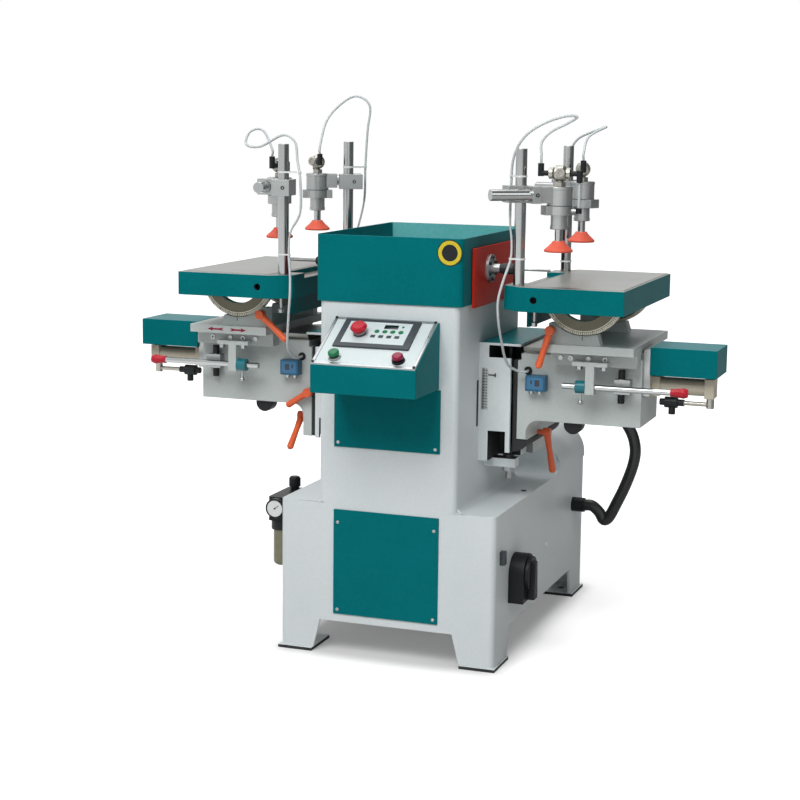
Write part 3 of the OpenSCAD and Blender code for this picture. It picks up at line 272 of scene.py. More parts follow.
# Bar and port are the angles of the bar and of the air fitting, hand is the bar's side of the post,
# and reach is how far along its bar the cylinder sits
clamps = {
    "right_front": {"side": 1, "postY": frontPostY, "bar": 38, "hand": -1, "reach": 76, "port": 180},
    "right_rear": {"side": 1, "postY": rearPostY, "bar": -21.5, "hand": -1, "reach": 78, "port": 285},
    "left_front": {"side": -1, "postY": frontPostY, "bar": 83, "hand": -1, "reach": 120, "port": 270},
    "left_rear": {"side": -1, "postY": rearPostY, "bar": -25, "hand": 1, "reach": 78, "port": 240}}


def clampPlace(clamp, x, y, z):  # in a clamp's own frame: X along its bar, its post at the origin
    look = clamps[clamp]
    turn = math.radians(look["bar"])
    y = -y if look["hand"] > 0 else y
    return Vector((look["side"] * (postX + x * math.cos(turn) - y * math.sin(turn)),
                   look["postY"] + x * math.sin(turn) + y * math.cos(turn), z))


def cylinderPlace(clamp, z):
    return clampPlace(clamp, clamps[clamp]["reach"], -barOff, z)


def fittingWay(clamp):  # the level direction in which a clamp's air fitting points
    turn = math.radians(clamps[clamp]["port"])
    return Vector((clamps[clamp]["side"] * math.cos(turn), math.sin(turn), 0))


kneeEnd = {side: Vector((s * 290, -240, 691)) for side, s in sides.items()}
lugEnd = {side: Vector((s * 290, 97, 916)) for side, s in sides.items()}
tubeRoutes = {
    "right_front": [(334, -328, 1226), (352, -316, 1250), (388, -304, 1270), (408, -302, 1284),
                    (378, -310, 1284), (328, -324, 1264), (290, -328, 1234), (268, -326, 1190),
                    (263, -324, 1130), (263, -326, 1046), (274, -348, 1004), (275, -356, 962),
                    (264, -372, 915), (256, -384, 870), (256, -380, 825), (256, -350, 770),
                    (255, -300, 715), (270, -268, 694)],
    "right_rear": [(364, -16, 1236), (398, 20, 1260), (352, 54, 1246), (310, 88, 1228), (290, 103, 1196),
                   (289, 105, 1120), (289, 103, 1000)],
    "left_front": [(-384, -266, 1242), (-412, -278, 1238), (-414, -296, 1208), (-370, -310, 1204),
                   (-306, -322, 1232), (-272, -328, 1216), (-262, -336, 1174), (-248, -352, 1130),
                   (-247, -354, 1052), (-273, -351, 1004), (-275, -356, 955), (-264, -374, 905),
                   (-258, -388, 860), (-262, -388, 800), (-274, -364, 730), (-284, -304, 699)],
    "left_rear": [(-356, 70, 1262), (-325, 86, 1305), (-282, 92, 1328), (-246, 96, 1304),
                  (-252, 98, 1240), (-258, 100, 1150), (-262, 104, 1060), (-282, 102, 975)]}
hoseRoute = [(305, 291, 259), (325, 291, 259), (345, 291, 243), (358, 290, 224), (372, 290, 232),
             (390, 290, 268), (415, 290, 325), (434, 290, 385), (436, 290, 430), (420, 288, 475),
             (380, 283, 525), (320, 270, 565), (240, 235, 592), (160, 180, 600), (118, 140, 600),
             (110, 120, 600), (110, 100, 600)]
tubeLook = {"Radius": 3.0, "Sides": 12, "stepsBetween": 8, "straight": 18, "armPoint": 6}
hoseLook = {"Radius": 15.0, "Sides": 28, "stepsBetween": 10}
treeInputs = {}


def newTree(name, sizes):  # a node tree with named inputs for its sizes in millimetres and its material
    tree = bpy.data.node_groups.new(name, "GeometryNodeTree")
    tree.interface.new_socket("Geometry", in_out="INPUT", socket_type="NodeSocketGeometry")
    for label, (kind, value) in sizes.items():
        socket = tree.interface.new_socket(label, in_out="INPUT", socket_type="NodeSocket" + kind)
        socket.default_value = value
    tree.interface.new_socket("Finish", in_out="INPUT", socket_type="NodeSocketMaterial")
    tree.interface.new_socket("Geometry", in_out="OUTPUT", socket_type="NodeSocketGeometry")
    treeInputs[name] = {item.name: item.identifier for item in tree.interface.items_tree
                        if item.in_out == "INPUT"}
    return tree, addNode(tree, "NodeGroupInput").outputs


def closeTree(tree, geometry, finish):
    whole = addNode(tree, "GeometryNodeRealizeInstances", {0: geometry})
    coloured = addNode(tree, "GeometryNodeSetMaterial",
                       {"Geometry": whole.outputs[0], "Material": finish})
    addNode(tree, "NodeGroupOutput", {0: coloured.outputs[0]})


def grow(piece, tree, finish, **sizes):  # runs a tree on a piece and keeps what it makes as a plain mesh
    modifier = piece.modifiers.new("grown", "NODES")
    modifier.node_group = tree
    for label, value in {**sizes, "Finish": finishes[finish]}.items():
        modifier[treeInputs[tree.name][label]] = value
    settle(piece)


def tubeTree():
    tree, given = newTree("sweptTube", {"Radius": ("Float", 3.0), "Sides": ("Int", 12)})
    metres = addNode(tree, "ShaderNodeMath", {0: given["Radius"], 1: mm}, operation="MULTIPLY")
    ring = addNode(tree, "GeometryNodeCurvePrimitiveCircle",
                   {"Resolution": given["Sides"], "Radius": metres.outputs[0]})
    path = addNode(tree, "GeometryNodeMeshToCurve", {"Mesh": given["Geometry"]})
    swept = addNode(tree, "GeometryNodeCurveToMesh",
                    {"Curve": path.outputs[0], "Profile Curve": ring.outputs[0], "Fill Caps": True})
    smooth = addNode(tree, "GeometryNodeSetShadeSmooth", {"Geometry": swept.outputs[0]})
    closeTree(tree, smooth.outputs[0], given["Finish"])
    return tree


def smoothRoute(points, steps):  # a Catmull-Rom curve through the route's points
    points = [Vector(p) for p in points]
    padded = [2 * points[0] - points[1]] + points + [2 * points[-1] - points[-2]]
    route = []
    for a, b, c, d in zip(padded, padded[1:], padded[2:], padded[3:]):
        for step in range(steps):
            t = step / steps
            route.append(0.5 * (2 * b + (c - a) * t + (2 * a - 5 * b + 4 * c - d) * t * t
                                + (3 * b - a - 3 * c + d) * t ** 3))
    return route + [points[-1]]


def addTube(name, route, look, finish, radius=None):
    work = bmesh.new()
    corners = [work.verts.new(p * mm) for p in route]
    for a, b in zip(corners, corners[1:]):
        work.edges.new((a, b))
    piece = addPiece(name, work)
    grow(piece, sweptTube, finish, Radius=radius or look["Radius"], Sides=look["Sides"])
    return piece


def firstBelow(route, level):  # index of the route's first point below a level, after its highest one
    top = max(range(len(route)), key=lambda i: route[i].z)
    return next(i for i in range(top, len(route)) if route[i].z < level)


sweptTube = tubeTree()
hose = addTube("hose", smoothRoute(hoseRoute, hoseLook["stepsBetween"]), hoseLook, "hoseRubber")
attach(hose, "frame")
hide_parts("dust_hose")

# A tube is split where it crosses a joint: from the arm to the block, beside the post, down to the
# table, and on the front stations on to the saddle and the knee. It bends between the levels given here
slipRun = {"top": 1170, "bottom": 1062, "inner": 2.6}  # here the upper piece slips over the one below it
tableRun = {"top": 1035, "bottom": 985, "cut": 965}
saddleRun = {"top": 915, "bottom": 800}


def joinTube(piece, side):
    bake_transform(piece)
    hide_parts(side + "_air_tubes")


tubeLines = {}
for clamp, middle in tubeRoutes.items():
    side = clamp.split("_")[0]
    toKnee = "front" in clamp
    start = cylinderPlace(clamp, teeTop) + elbowOut * fittingWay(clamp)
    end = kneeEnd[side] if toKnee else lugEnd[side]
    out = Vector((0, -1, 0)) if toKnee else Vector((0, 0, 1))
    straight = tubeLook["straight"]
    route = smoothRoute([start, start + Vector((0, 0, straight)), *middle, end + straight * out, end],
                        tubeLook["stepsBetween"])
    tubeLines[clamp] = route
    slipTop = firstBelow(route, slipRun["top"])
    slipEnd = firstBelow(route, slipRun["bottom"])
    upper = addTube("tube_upper_" + clamp, route[:slipEnd + 1], tubeLook, "airTube")
    joinTube(upper, side)
    cut = firstBelow(route, tableRun["cut"]) if toKnee else len(route) - 1
    lower = addTube("tube_middle_" + clamp, route[slipTop:cut + 1], tubeLook, "airTube",
                    slipRun["inner"])
    joinTube(lower, side)
    if toKnee:
        turnCut = firstBelow(route, saddleRun["bottom"])
        hang = addTube("tube_hang_" + clamp, route[cut - 1:turnCut + 2], tubeLook, "airTube")
        joinTube(hang, side)
        tail = addTube("tube_tail_" + clamp, route[turnCut:], tubeLook, "airTube")
        joinTube(tail, side)
print("hose and tubes laid")


# Finishes of the nodes, chosen by place; p is a face's middle in millimetres and n its direction
frontY = -412
consoleTilt = math.radians(30.14)
slopeCos = math.cos(consoleTilt)
slopeSin = math.sin(consoleTilt)
faceTop = (-420, 814)  # Y and Z of the upper edge of the console's face
faceTurn = Matrix.Rotation(consoleTilt, 4, "X")


def onFace(p):  # x across, v down the slope and h above the console's face
    y = p.y - faceTop[0]
    z = p.z - faceTop[1]
    return p.x, -(y * slopeCos + z * slopeSin), z * slopeCos - y * slopeSin


def facePlace(x, v, h):
    return Vector((x, faceTop[0] - v * slopeCos - h * slopeSin,
                   faceTop[1] - v * slopeSin + h * slopeCos))


def baseFinish(p, n):
    if p.x > 271 and p.z > 200 or p.y > 83 and p.z > 570:  # hose fittings
        return "blackAbs"
    # Edges of the foot plates are near black: partly the plates' own dark, partly painted contact shadow
    return "nearBlackMarksAndShade" if p.z < 8.5 and n.z < 0.5 else "greyEnamel"  # edges of the foot plates


def panelFinish(p, n):
    x, v, h = onFace(p)
    if h > 10.5 and math.hypot(x + 44, v - 62) < 17:  # under the emergency stop
        return "whiteNylon"
    collar = min(math.hypot(x + 76, v - 152), math.hypot(x - 78, v - 152)) < 15.6
    if collar and h > 3.1:  # round the two buttons
        return "anodisedAluminium" if x < 0 else "blackAbs"
    if -96 < x < 90 and 8 < v < 114 and h > 3.1:  # keypad plate in its dark frame
        plate = -80.5 < x < 71.5 and 13 < v < 102 and n.z > 0.8 and h < 7.5
        return "printedSheet" if plate else "slateAbs"
    return "milledSteel" if h > 3.2 else "printedSheet"  # frame strips on the sheet


def unitFinish(p, n):
    if p.z < 260:  # bowl
        return "smokedPolycarbonate" if math.hypot(p.x + 325, p.y + 275) < 24 else "nickelBrass"
    return "blackAbs"


def guideFinish(p, n):
    x = abs(p.x)
    if p.z > 748.5 and n.z > 0.7:  # cap
        return "tealEnamel"
    # The pocket and its two windows are painted near black: painted shade in the recess
    if 195.5 < x < 249.6 and -249.2 < p.y < -147.5 and p.z > 467:  # in the pocket and its two windows
        return "nearBlackMarksAndShade"
    return "milledSteel" if x > 250.4 and p.z < 747.5 else "greyEnamel"


def hoodFinish(p, n):
    # The tray's inner back wall is painted paler teal: painted light from above
    return "paintedLightTeal" if n.y < -0.8 and p.y > -300 and p.z > 900 else "tealEnamel"


def arcFinish(p, n):
    # Rims facing down and forward take the pale finish, painted brighter as painted light
    return "oiledCasting" if n.y < -0.9 else "paintedBrightCasting"


def shieldFinish(p, n):
    return "milledSteel" if abs(p.x) > 188.3 else "redEnamel"


def chuckFinish(p, n):
    return "blackenedSteel" if abs(p.x) < 254.1 else "milledSteel"


def kneeFinish(p, n):
    x = abs(p.x)
    if p.z > 731.5:  # dovetail under the saddle
        return "groundIron"
    # The slide and the strip beside it are near black: partly a dark slide, partly painted shade behind
    # the knee's leg
    slide = x < 288 and (p.z < 524 and p.x > 0 or n.y < -0.5 and p.y > -236.5)
    # The rest of the knee is grey enamel painted darker: painted shade under the table
    return "nearBlackMarksAndShade" if x < 263.6 or slide else "shadedGreyEnamel"


def screwFinish(p, n):
    return "milledSteel" if p.z < 470 else "blackenedSteel"


def feedFinish(p, n):
    x = abs(p.x)
    if x > 578.5 or x > 561 and p.z > 600:  # feed cylinder and its flow control
        if p.z < 645 and x < 700:
            return "blackAbs" if x < 648.3 else "nickelBrass"
        if x < 579:
            return "milledSteel"
        return "nickelBrass" if p.z < 645.5 else "beigeEnamel"
    if x > 495:  # valve on the knee's front
        return "anodisedAluminium" if 651 < p.z < 687 and p.y < -237 else "blackAbs"
    tripSwitch = x < 339 and p.z < 684 and p.y < -240.5
    return "blueAbs" if tripSwitch else "blackAbs"


def saddleFinish(p, n):
    # The saddle's grey enamel is painted darker: painted shade under the table
    return "chromedBar" if abs(p.x) > 501 and p.z < 720 and p.y > -220 else "shadedGreyEnamel"


def stopRodFinish(p, n):
    return "redAbs" if abs(p.x) > 639.9 else "chromedBar"


def collarFinish(p, n):
    return "milledSteel" if p.z < 652.9 else "tealNylon"


def tableFinish(p, n):
    x = abs(p.x)
    if p.z > 904.5 or p.z > 902.5 and math.hypot(x - 290, p.y - 97) < 5.5:  # air socket in the lug
        return "blackAbs"
    if p.z > 902.9 and x > 315 or n.z > 0.9 and p.z > 890:
        return "groundIron"
    if p.z < 846.5 and x > 309:  # levelling screw
        return "milledSteel"
    # The hole's inside is painted near black: painted shade
    hole = abs(x - 341) < 8.2 and -393 < p.y < -371 and abs(p.z - 874) < 8.2
    return "nearBlackMarksAndShade" if hole else "tealEnamel"


def armFinish(clamp):
    axis = cylinderPlace(clamp, 0)
    inward = (clampPlace(clamp, 0, -barOff, 0) - axis).to_2d().normalized()
    port = fittingWay(clamp).to_2d()

    def chooser(p, n):
        spot = (p - axis).to_2d()
        if p.z > 1128.5:  # air fittings above the cylinder
            return "nickelBrass" if spot.length < 24.5 else "blackAbs"
        along = spot.dot(inward)
        if along > 51:
            return "chromedBar"
        if spot.dot(port) < -37.5 and along < 38:  # link tube and its lower elbow
            tubular = 1082 < p.z < 1137 and (spot + elbowOut * port).length < 3.3
            return "airTube" if tubular else "blackAbs"
        return "anodisedAluminium"
    return chooser


def pistonFinish(p, n):
    return "chromedBar" if p.z > 1006.9 else "orangePolyurethane"


# Each node's finish, the width of its eased edges in millimetres, and the steps across them
frameLook = {
    "base_column": (baseFinish, 1.0, 3), "front_panels": ("tealEnamel", 0.8),
    "hood": (hoodFinish, 1.5, 3), "console_box": ("tealEnamel", 1.5, 3),
    "console_panel": (panelFinish, 0.6), "emergency_stop": ("redAbs", 1.2, 3),
    "start_button": ("greenAbs", 1.0, 3), "stop_button": ("crimsonAbs", 1.0, 3),
    "main_switch_body": ("blackAbs", 2.0, 3), "main_switch_handle": ("blackAbs", 1.5, 3),
    "air_service_unit": (unitFinish, 1.0), "regulator_knob": ("blackAbs", 1.0),
    "slide_guides": (guideFinish, 1.0), "carriage_guide": ("milledSteel", 0.8),
    "spindle_carriage": ("castIron", 1.0), "shield_plates": (shieldFinish, 0.6),
    "spindle": ("milledSteel", 0.6), "cutter_chucks": (chuckFinish, 0.6)}
stationLook = {
    "knee": (kneeFinish, 1.5, 3), "lift_screw": (screwFinish, 0.5), "end_cover": ("tealEnamel", 1.0),
    "feed_gear": (feedFinish, 0.8), "saddle": (saddleFinish, 0.8), "stop_rod": (stopRodFinish, 0.6),
    "stop_collar": (collarFinish, 0.6), "tilt_lever": ("orangeNylon", 0.8),
    "knee_lever": ("orangeNylon", 0.8), "table": (tableFinish, 1.2), "tilt_arcs": (arcFinish, 0.4)}
for node, settings in frameLook.items():
    dress(node, *settings)
for side in sides:
    for part, settings in stationLook.items():
        dress(side + "_" + part, *settings)
    for clamp in (side + "_front", side + "_rear"):
        dress(clamp + "_post", "chromedBar", 0.8)
        dress(clamp + "_block", "anodisedAluminium", 0.8)
        dress(clamp + "_arm", armFinish(clamp), 0.6)
        dress(clamp + "_piston", pistonFinish, 0.6)
dress("left_lock_lever", "orangeNylon", 0.8)
print("nodes dressed")

# Turned and boxed details
forward = (0, -1, 0)
down = (0, 0, -1)
faceOut = (0, -slopeSin, slopeCos)
sharpAngle = math.radians(30)


def ringOf(radius, height, steps):  # a circle round local Z, or its one middle point
    if radius < 0.001:
        return [Vector((0, 0, height * mm))]
    turns = [2 * math.pi * k / steps for k in range(steps)]
    return [Vector((radius * mm * math.cos(t), radius * mm * math.sin(t), height * mm)) for t in turns]


def addLathe(work, profile, place, finish, steps=32):  # spins (radius, height) in mm round local Z
    rings = [[work.verts.new(place @ spot) for spot in ringOf(*point, steps)] for point in profile]
    for low, high in zip(rings, rings[1:]):
        for k in range(steps):
            corners = [low[k % len(low)], low[(k + 1) % len(low)],
                       high[(k + 1) % len(high)], high[k % len(high)]]
            unique = list(dict.fromkeys(corners))
            if len(unique) > 2:
                work.faces.new(unique).material_index = finish


def addBox(work, size, place, finish, edge=0.4):  # size in mm, edges eased
    shape = place @ Matrix.Diagonal((*(s * mm for s in size), 1))
    made = bmesh.ops.create_cube(work, size=1, matrix=shape)
    faces = list(dict.fromkeys(face for v in made["verts"] for face in v.link_faces))
    for face in faces:
        face.material_index = finish
    edges = list(dict.fromkeys(e for face in faces for e in face.edges))
    bmesh.ops.bevel(work, geom=edges, offset=edge * mm, segments=2, affect="EDGES", profile=0.5,
                    clamp_overlap=True, material=finish)


def finishPiece(name, work, names, body):  # names are what the finish numbers above stand for
    bmesh.ops.recalc_face_normals(work, faces=work.faces)
    for face in work.faces:
        face.smooth = True
    piece = addPiece(name, work)
    for finish in names:
        piece.data.materials.append(finishes[finish])
    piece.data.set_sharp_from_angle(angle=sharpAngle)
    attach(piece, body)


def placeAt(point, facing=(0, 0, 1)):  # local Z turned to a direction, at a place in mm
    turn = Vector((0, 0, 1)).rotation_difference(Vector(facing)).to_matrix().to_4x4()
    return Matrix.Translation(Vector(point) * mm) @ turn


# Round badge on the hood: a bare ring
badgeLook = {"place": (149.4, -416, 975.5), "radius": 28, "rim": 2, "ringWidth": 9, "height": 1.6,
             "steps": 48}


def addBadge(look):
    work = bmesh.new()
    place = placeAt(look["place"], forward)
    r, w, h, steps = look["radius"], look["ringWidth"], look["height"], look["steps"]
    outer = r + look["rim"]
    addLathe(work, [(outer, 0), (outer, h - 0.6), (r, h - 0.4)], place, 1, steps)
    addLathe(work, [(r, h - 0.4), (r - 0.4, h), (r - w + 0.4, h), (r - w, h - 0.4)], place, 0, steps)
    addLathe(work, [(r - w, h - 0.4), (r - w - 0.4, h - 1), (0, h - 1)], place, 1, steps)
    finishPiece("badge", work, ["yellowEnamel", "blackAbs"], "frame")


addBadge(badgeLook)

# Keypad: display, lamp and two rows of keys on the console's inner plate
keypadLook = {"height": 7, "displaySize": (33, 14, 1.2), "displayAt": (24, 34), "lampAt": (52, 32),
              "keys": 4, "rows": (52, 71), "firstKey": (-6, -10), "keyPitch": 19.5, "roundKey": 6.0,
              "squareKey": (11, 9, 1.4)}


def onPanel(x, v, h):  # a frame that lies on the console's face
    return Matrix.Translation(facePlace(x, v, h) * mm) @ faceTurn


def addKeypad(look):
    work = bmesh.new()
    h, r = look["height"], look["roundKey"]
    addBox(work, look["displaySize"], onPanel(*look["displayAt"], h + 0.5), 0)
    addLathe(work, [(3, 0), (3, 1), (2, 1.8), (0, 2)], onPanel(*look["lampAt"], h), 1, 20)
    for k in range(look["keys"]):
        roundX, squareX = (first + k * look["keyPitch"] for first in look["firstKey"])
        addLathe(work, [(r, -0.2), (r, 0.9), (r - 0.6, 1.4), (r - 2, 1.2), (0, 1.0)],
                 onPanel(roundX, look["rows"][0], h), 1, 24)
        addBox(work, look["squareKey"], onPanel(squareX, look["rows"][1], h + 0.5), 2)
    finishPiece("keypad", work, ["displayGlass", "greenAbs", "slateAbs"], "frame")


addKeypad(keypadLook)

# Screws, bolts and set screws: one tree for each kind of head, one mesh for each group of them
headLook = {"socket": {"corners": 20, "cutCorners": 6, "cutShare": 0.55, "rise": 0.4},
            "hex": {"corners": 6, "cutCorners": 16, "cutShare": 0.72, "rise": 0.9},
            "dome": {"segments": 16, "rings": 8, "slotWide": 0.3, "slotLong": 3.0}}


def fastenerTree(kind, look):
    tree, given = newTree(kind + "Fasteners", {"Head": ("Float", 8.0), "Height": ("Float", 4.0)})
    half = addNode(tree, "ShaderNodeMath", {0: given["Head"], 1: mm / 2}, operation="MULTIPLY")
    high = addNode(tree, "ShaderNodeMath", {0: given["Height"], 1: mm}, operation="MULTIPLY")
    width, tall = half.outputs[0], high.outputs[0]
    if kind == "dome":
        ball = addNode(tree, "GeometryNodeMeshUVSphere",
                       {"Segments": look["segments"], "Rings": look["rings"], "Radius": width})
        squat = addNode(tree, "ShaderNodeMath", {0: tall, 1: width}, operation="DIVIDE").outputs[0]
        flat = addNode(tree, "ShaderNodeCombineXYZ", {0: 1.0, 1: 1.0, 2: squat}).outputs[0]
        head = addNode(tree, "GeometryNodeTransform",
                       {"Geometry": ball.outputs[0], "Scale": flat}).outputs[0]
        long = addNode(tree, "ShaderNodeMath", {0: width, 1: look["slotLong"]}, operation="MULTIPLY")
        wide = addNode(tree, "ShaderNodeMath", {0: width, 1: look["slotWide"]}, operation="MULTIPLY")
        slotSize = addNode(tree, "ShaderNodeCombineXYZ",
                           {0: long.outputs[0], 1: wide.outputs[0], 2: tall})
        cutter = addNode(tree, "GeometryNodeMeshCube", {"Size": slotSize.outputs[0]}).outputs[0]
        lift = tall
    else:
        head = addNode(tree, "GeometryNodeMeshCylinder",
                       {"Vertices": look["corners"], "Radius": width, "Depth": tall}).outputs[0]
        inner = addNode(tree, "ShaderNodeMath", {0: width, 1: look["cutShare"]}, operation="MULTIPLY")
        hole = addNode(tree, "GeometryNodeMeshCylinder",
                       {"Vertices": look["cutCorners"], "Radius": inner.outputs[0], "Depth": tall})
        cutter = hole.outputs[0]
        rise = addNode(tree, "ShaderNodeMath", {0: tall, 1: look["rise"]}, operation="MULTIPLY")
        lift = rise.outputs[0]
    up = addNode(tree, "ShaderNodeCombineXYZ", {2: lift}).outputs[0]
    raised = addNode(tree, "GeometryNodeTransform", {"Geometry": cutter, "Translation": up}).outputs[0]
    shaped = addNode(tree, "GeometryNodeMeshBoolean", {0: head, 1: raised}, operation="DIFFERENCE")
    facing = addNode(tree, "GeometryNodeInputNamedAttribute", {0: "facing"}, data_type="FLOAT_VECTOR")
    turn = addNode(tree, "FunctionNodeAlignRotationToVector", {"Vector": facing.outputs[0]}, axis="Z")
    heads = addNode(tree, "GeometryNodeInstanceOnPoints",
                    {"Points": given["Geometry"], "Instance": shaped.outputs[0],
                     "Rotation": turn.outputs[0]})
    closeTree(tree, heads.outputs[0], given["Finish"])
    return tree


fastenerTrees = {kind: fastenerTree(kind, headLook[kind]) for kind in headLook}


def growOnSpots(name, tree, label, spots, finish, body, slot, **sizes):  # one copy at each place in mm
    mesh = bpy.data.meshes.new(name)
    mesh.from_pydata([Vector(place) * mm for place, way in spots], [], [])
    mesh.attributes.new(label, "FLOAT_VECTOR", "POINT").data.foreach_set(
        "vector", [number for place, way in spots for number in way])
    piece = bpy.data.objects.new(name, mesh)
    scene.collection.objects.link(piece)
    grow(piece, tree, finish, **sizes)
    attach(piece, body)


def addFasteners(name, kind, finish, body, head, height, spots):  # spots are (place in mm, direction)
    turned = [(place, Vector(facing).normalized()) for place, facing in spots]
    growOnSpots(name, fastenerTrees[kind], "facing", turned, finish, body, "machined_steel", Head=head,
                Height=height)


coverScrews = [((x, frontY - 3.5, z), forward) for x in (-121, 121) for z in (111, 325, 519)]
addFasteners("cover_screws", "dome", "milledSteel", "frame", 9, 3, coverScrews)
consoleScrews = [(facePlace(x, v, 5.5), faceOut) for x in (-121.5, 121.5) for v in (5, 173)]
addFasteners("console_screws", "socket", "blackenedSteel", "frame", 7, 3, consoleScrews)
capLook = {"out": 196.5, "middle": (-234, 929), "ring": 26, "turns": (30, 90, 150, 210, 270, 330)}
capScrews = []
for s in sides.values():
    for turn in map(math.radians, capLook["turns"]):
        y = capLook["middle"][0] + capLook["ring"] * math.cos(turn)
        z = capLook["middle"][1] + capLook["ring"] * math.sin(turn)
        capScrews.append(((s * capLook["out"], y, z), (s, 0, 0)))
addFasteners("bearing_cap_screws", "socket", "blackenedSteel", "carriage", 8, 5, capScrews)
# Set screws of the clamp blocks: x and y in the clamp's frame and the face that each one is in
barFace, backFace, endFace = (0, -1), (0, 1), (-1, 0)
setScrews = {"right_front": [(14, -67, barFace), (-14, 24, backFace)],
             "right_rear": [(14, -67, barFace), (-14, 24, backFace)],
             "left_front": [(14, -67, barFace), (-36, 8, endFace)],
             "left_rear": [(-10, -67, barFace), (-14, 24, backFace)]}
blockMiddle = 1110
for clamp, screws in setScrews.items():
    spots = []
    for x, y, out in screws:
        here = clampPlace(clamp, x, y, blockMiddle)
        spots.append((here, clampPlace(clamp, x + out[0], y + out[1], blockMiddle) - here))
    addFasteners(clamp + "_set_screws", "socket", "blackenedSteel", clamp + "_block", 9, 3, spots)
# Bolts of the saddles' gibs, with a socket and with a plain head, and under their stop brackets
gibLook = {"front": -274.5, "level": 732, "right": ((401.5, 483), (377, 443.8)),
           "left": ((-515, -433), (-467, -399)), "bracket": ((426, -286, 715), (484, -286, 715))}
for side, s in sides.items():
    saddle = side + "_saddle"
    rows = [[((x, gibLook["front"], gibLook["level"]), forward) for x in row] for row in gibLook[side]]
    addFasteners(side + "_gib_sockets", "socket", "milledSteel", saddle, 12, 5, rows[0])
    addFasteners(side + "_gib_domes", "hex", "milledSteel", saddle, 13, 6, rows[1])
    addFasteners(side + "_bracket_bolts", "hex", "milledSteel", saddle, 16, 12,
                 [((s * x, y, z), down) for x, y, z in gibLook["bracket"]])


# Small boxes set in rows: scale lines, ribs and holes; each spot has a place in mm and a turned frame
def boxTree():
    sizes = ("Long", "Wide", "High")
    tree, given = newTree("boxRow", {label: ("Float", 1.0) for label in sizes})
    metres = [addNode(tree, "ShaderNodeMath", {0: given[label], 1: mm}, operation="MULTIPLY").outputs[0]
              for label in sizes]
    size = addNode(tree, "ShaderNodeCombineXYZ", dict(enumerate(metres))).outputs[0]
    box = addNode(tree, "GeometryNodeMeshCube", {"Size": size}).outputs[0]
    turn = addNode(tree, "GeometryNodeInputNamedAttribute", {0: "turn"}, data_type="FLOAT_VECTOR")
    spin = addNode(tree, "FunctionNodeEulerToRotation", {0: turn.outputs[0]}).outputs[0]
    rows = addNode(tree, "GeometryNodeInstanceOnPoints",
                   {"Points": given["Geometry"], "Instance": box, "Rotation": spin}).outputs[0]
    closeTree(tree, rows, given["Finish"])
    return tree


boxRow = boxTree()


def addRow(name, finish, body, slot, size, spots):
    turned = [(place, turn.to_euler()) for place, turn in spots]
    growOnSpots(name, boxRow, "turn", turned, finish, body, slot,
                Long=size[0], Wide=size[1], High=size[2])


def frameOf(long, normal):  # a turn whose X lies along one direction and whose Z lies along the other
    x = Vector(long).normalized()
    z = Vector(normal).normalized()
    return Matrix((x, z.cross(x), z)).transposed()


# Graduated ring on the front arc's edge, and its index on the cradle
scaleLook = {"centre": (435, 885),
             "ring": ((85, -303.0), (85.4, -303.5), (95.2, -301.4), (95.5, -296.6)), "radius": 91,
             "front": -302.4, "slope": 0.21, "end": 60, "step": 3, "longStep": 15, "line": (5, 0.9, 0.5),
             "longLine": (8.5, 1.3, 0.5), "index": (1.6, 0.6, 9), "indexAt": (-305.1, 783)}


def addScale(side, look):
    s = sides[side]
    lines, longLines, rows = [], [], []
    ring = bmesh.new()
    back = Vector((0, 1, 0))
    middle = Vector((s * look["centre"][0], 0, look["centre"][1]))
    for angle in range(-look["end"], look["end"] + 1, look["step"]):
        turn = math.radians(angle)
        out = Vector((math.sin(turn), 0, -math.cos(turn)))
        rows.append([ring.verts.new((middle + radius * out + y * back) * mm)
                     for radius, y in look["ring"]])
        place = middle + look["radius"] * out + look["front"] * back
        turned = frameOf(out + look["slope"] * back, look["slope"] * out - back)
        (lines if angle % look["longStep"] else longLines).append((place, turned))
    for row, after in zip(rows, rows[1:]):
        for k in range(len(row) - 1):
            ring.faces.new((row[k], after[k], after[k + 1], row[k + 1]))
    table = side + "_table"
    # The ring takes the rims' pale finish, painted brighter as painted light
    finishPiece(side + "_scale_ring", ring, ["paintedBrightCasting"], table)
    addRow(side + "_scale_lines", "nearBlackMarksAndShade", table, "bare_casting", look["line"], lines)
    addRow(side + "_scale_tens", "nearBlackMarksAndShade", table, "bare_casting", look["longLine"], longLines)
    work = bmesh.new()
    addBox(work, look["index"], placeAt((s * look["centre"][0], *look["indexAt"])), 0, 0.1)
    finishPiece(side + "_index", work, ["nearBlackMarksAndShade"], side + "_saddle")


for side in sides:
    addScale(side, scaleLook)

# Ties that hold the tubes to the posts: a band round post and tube
tieLook = {"height": 4, "thick": 1.3, "inner": 0.1, "postRadius": 13, "tubeRadius": 3, "steps": 48}
tiePlaces = [("left_front", 1146, "block"), ("left_rear", 1147, "block"), ("right_front", 1150, "block"),
             ("left_front", 951, "post"), ("right_front", 963, "post"), ("right_rear", 927, "post")]


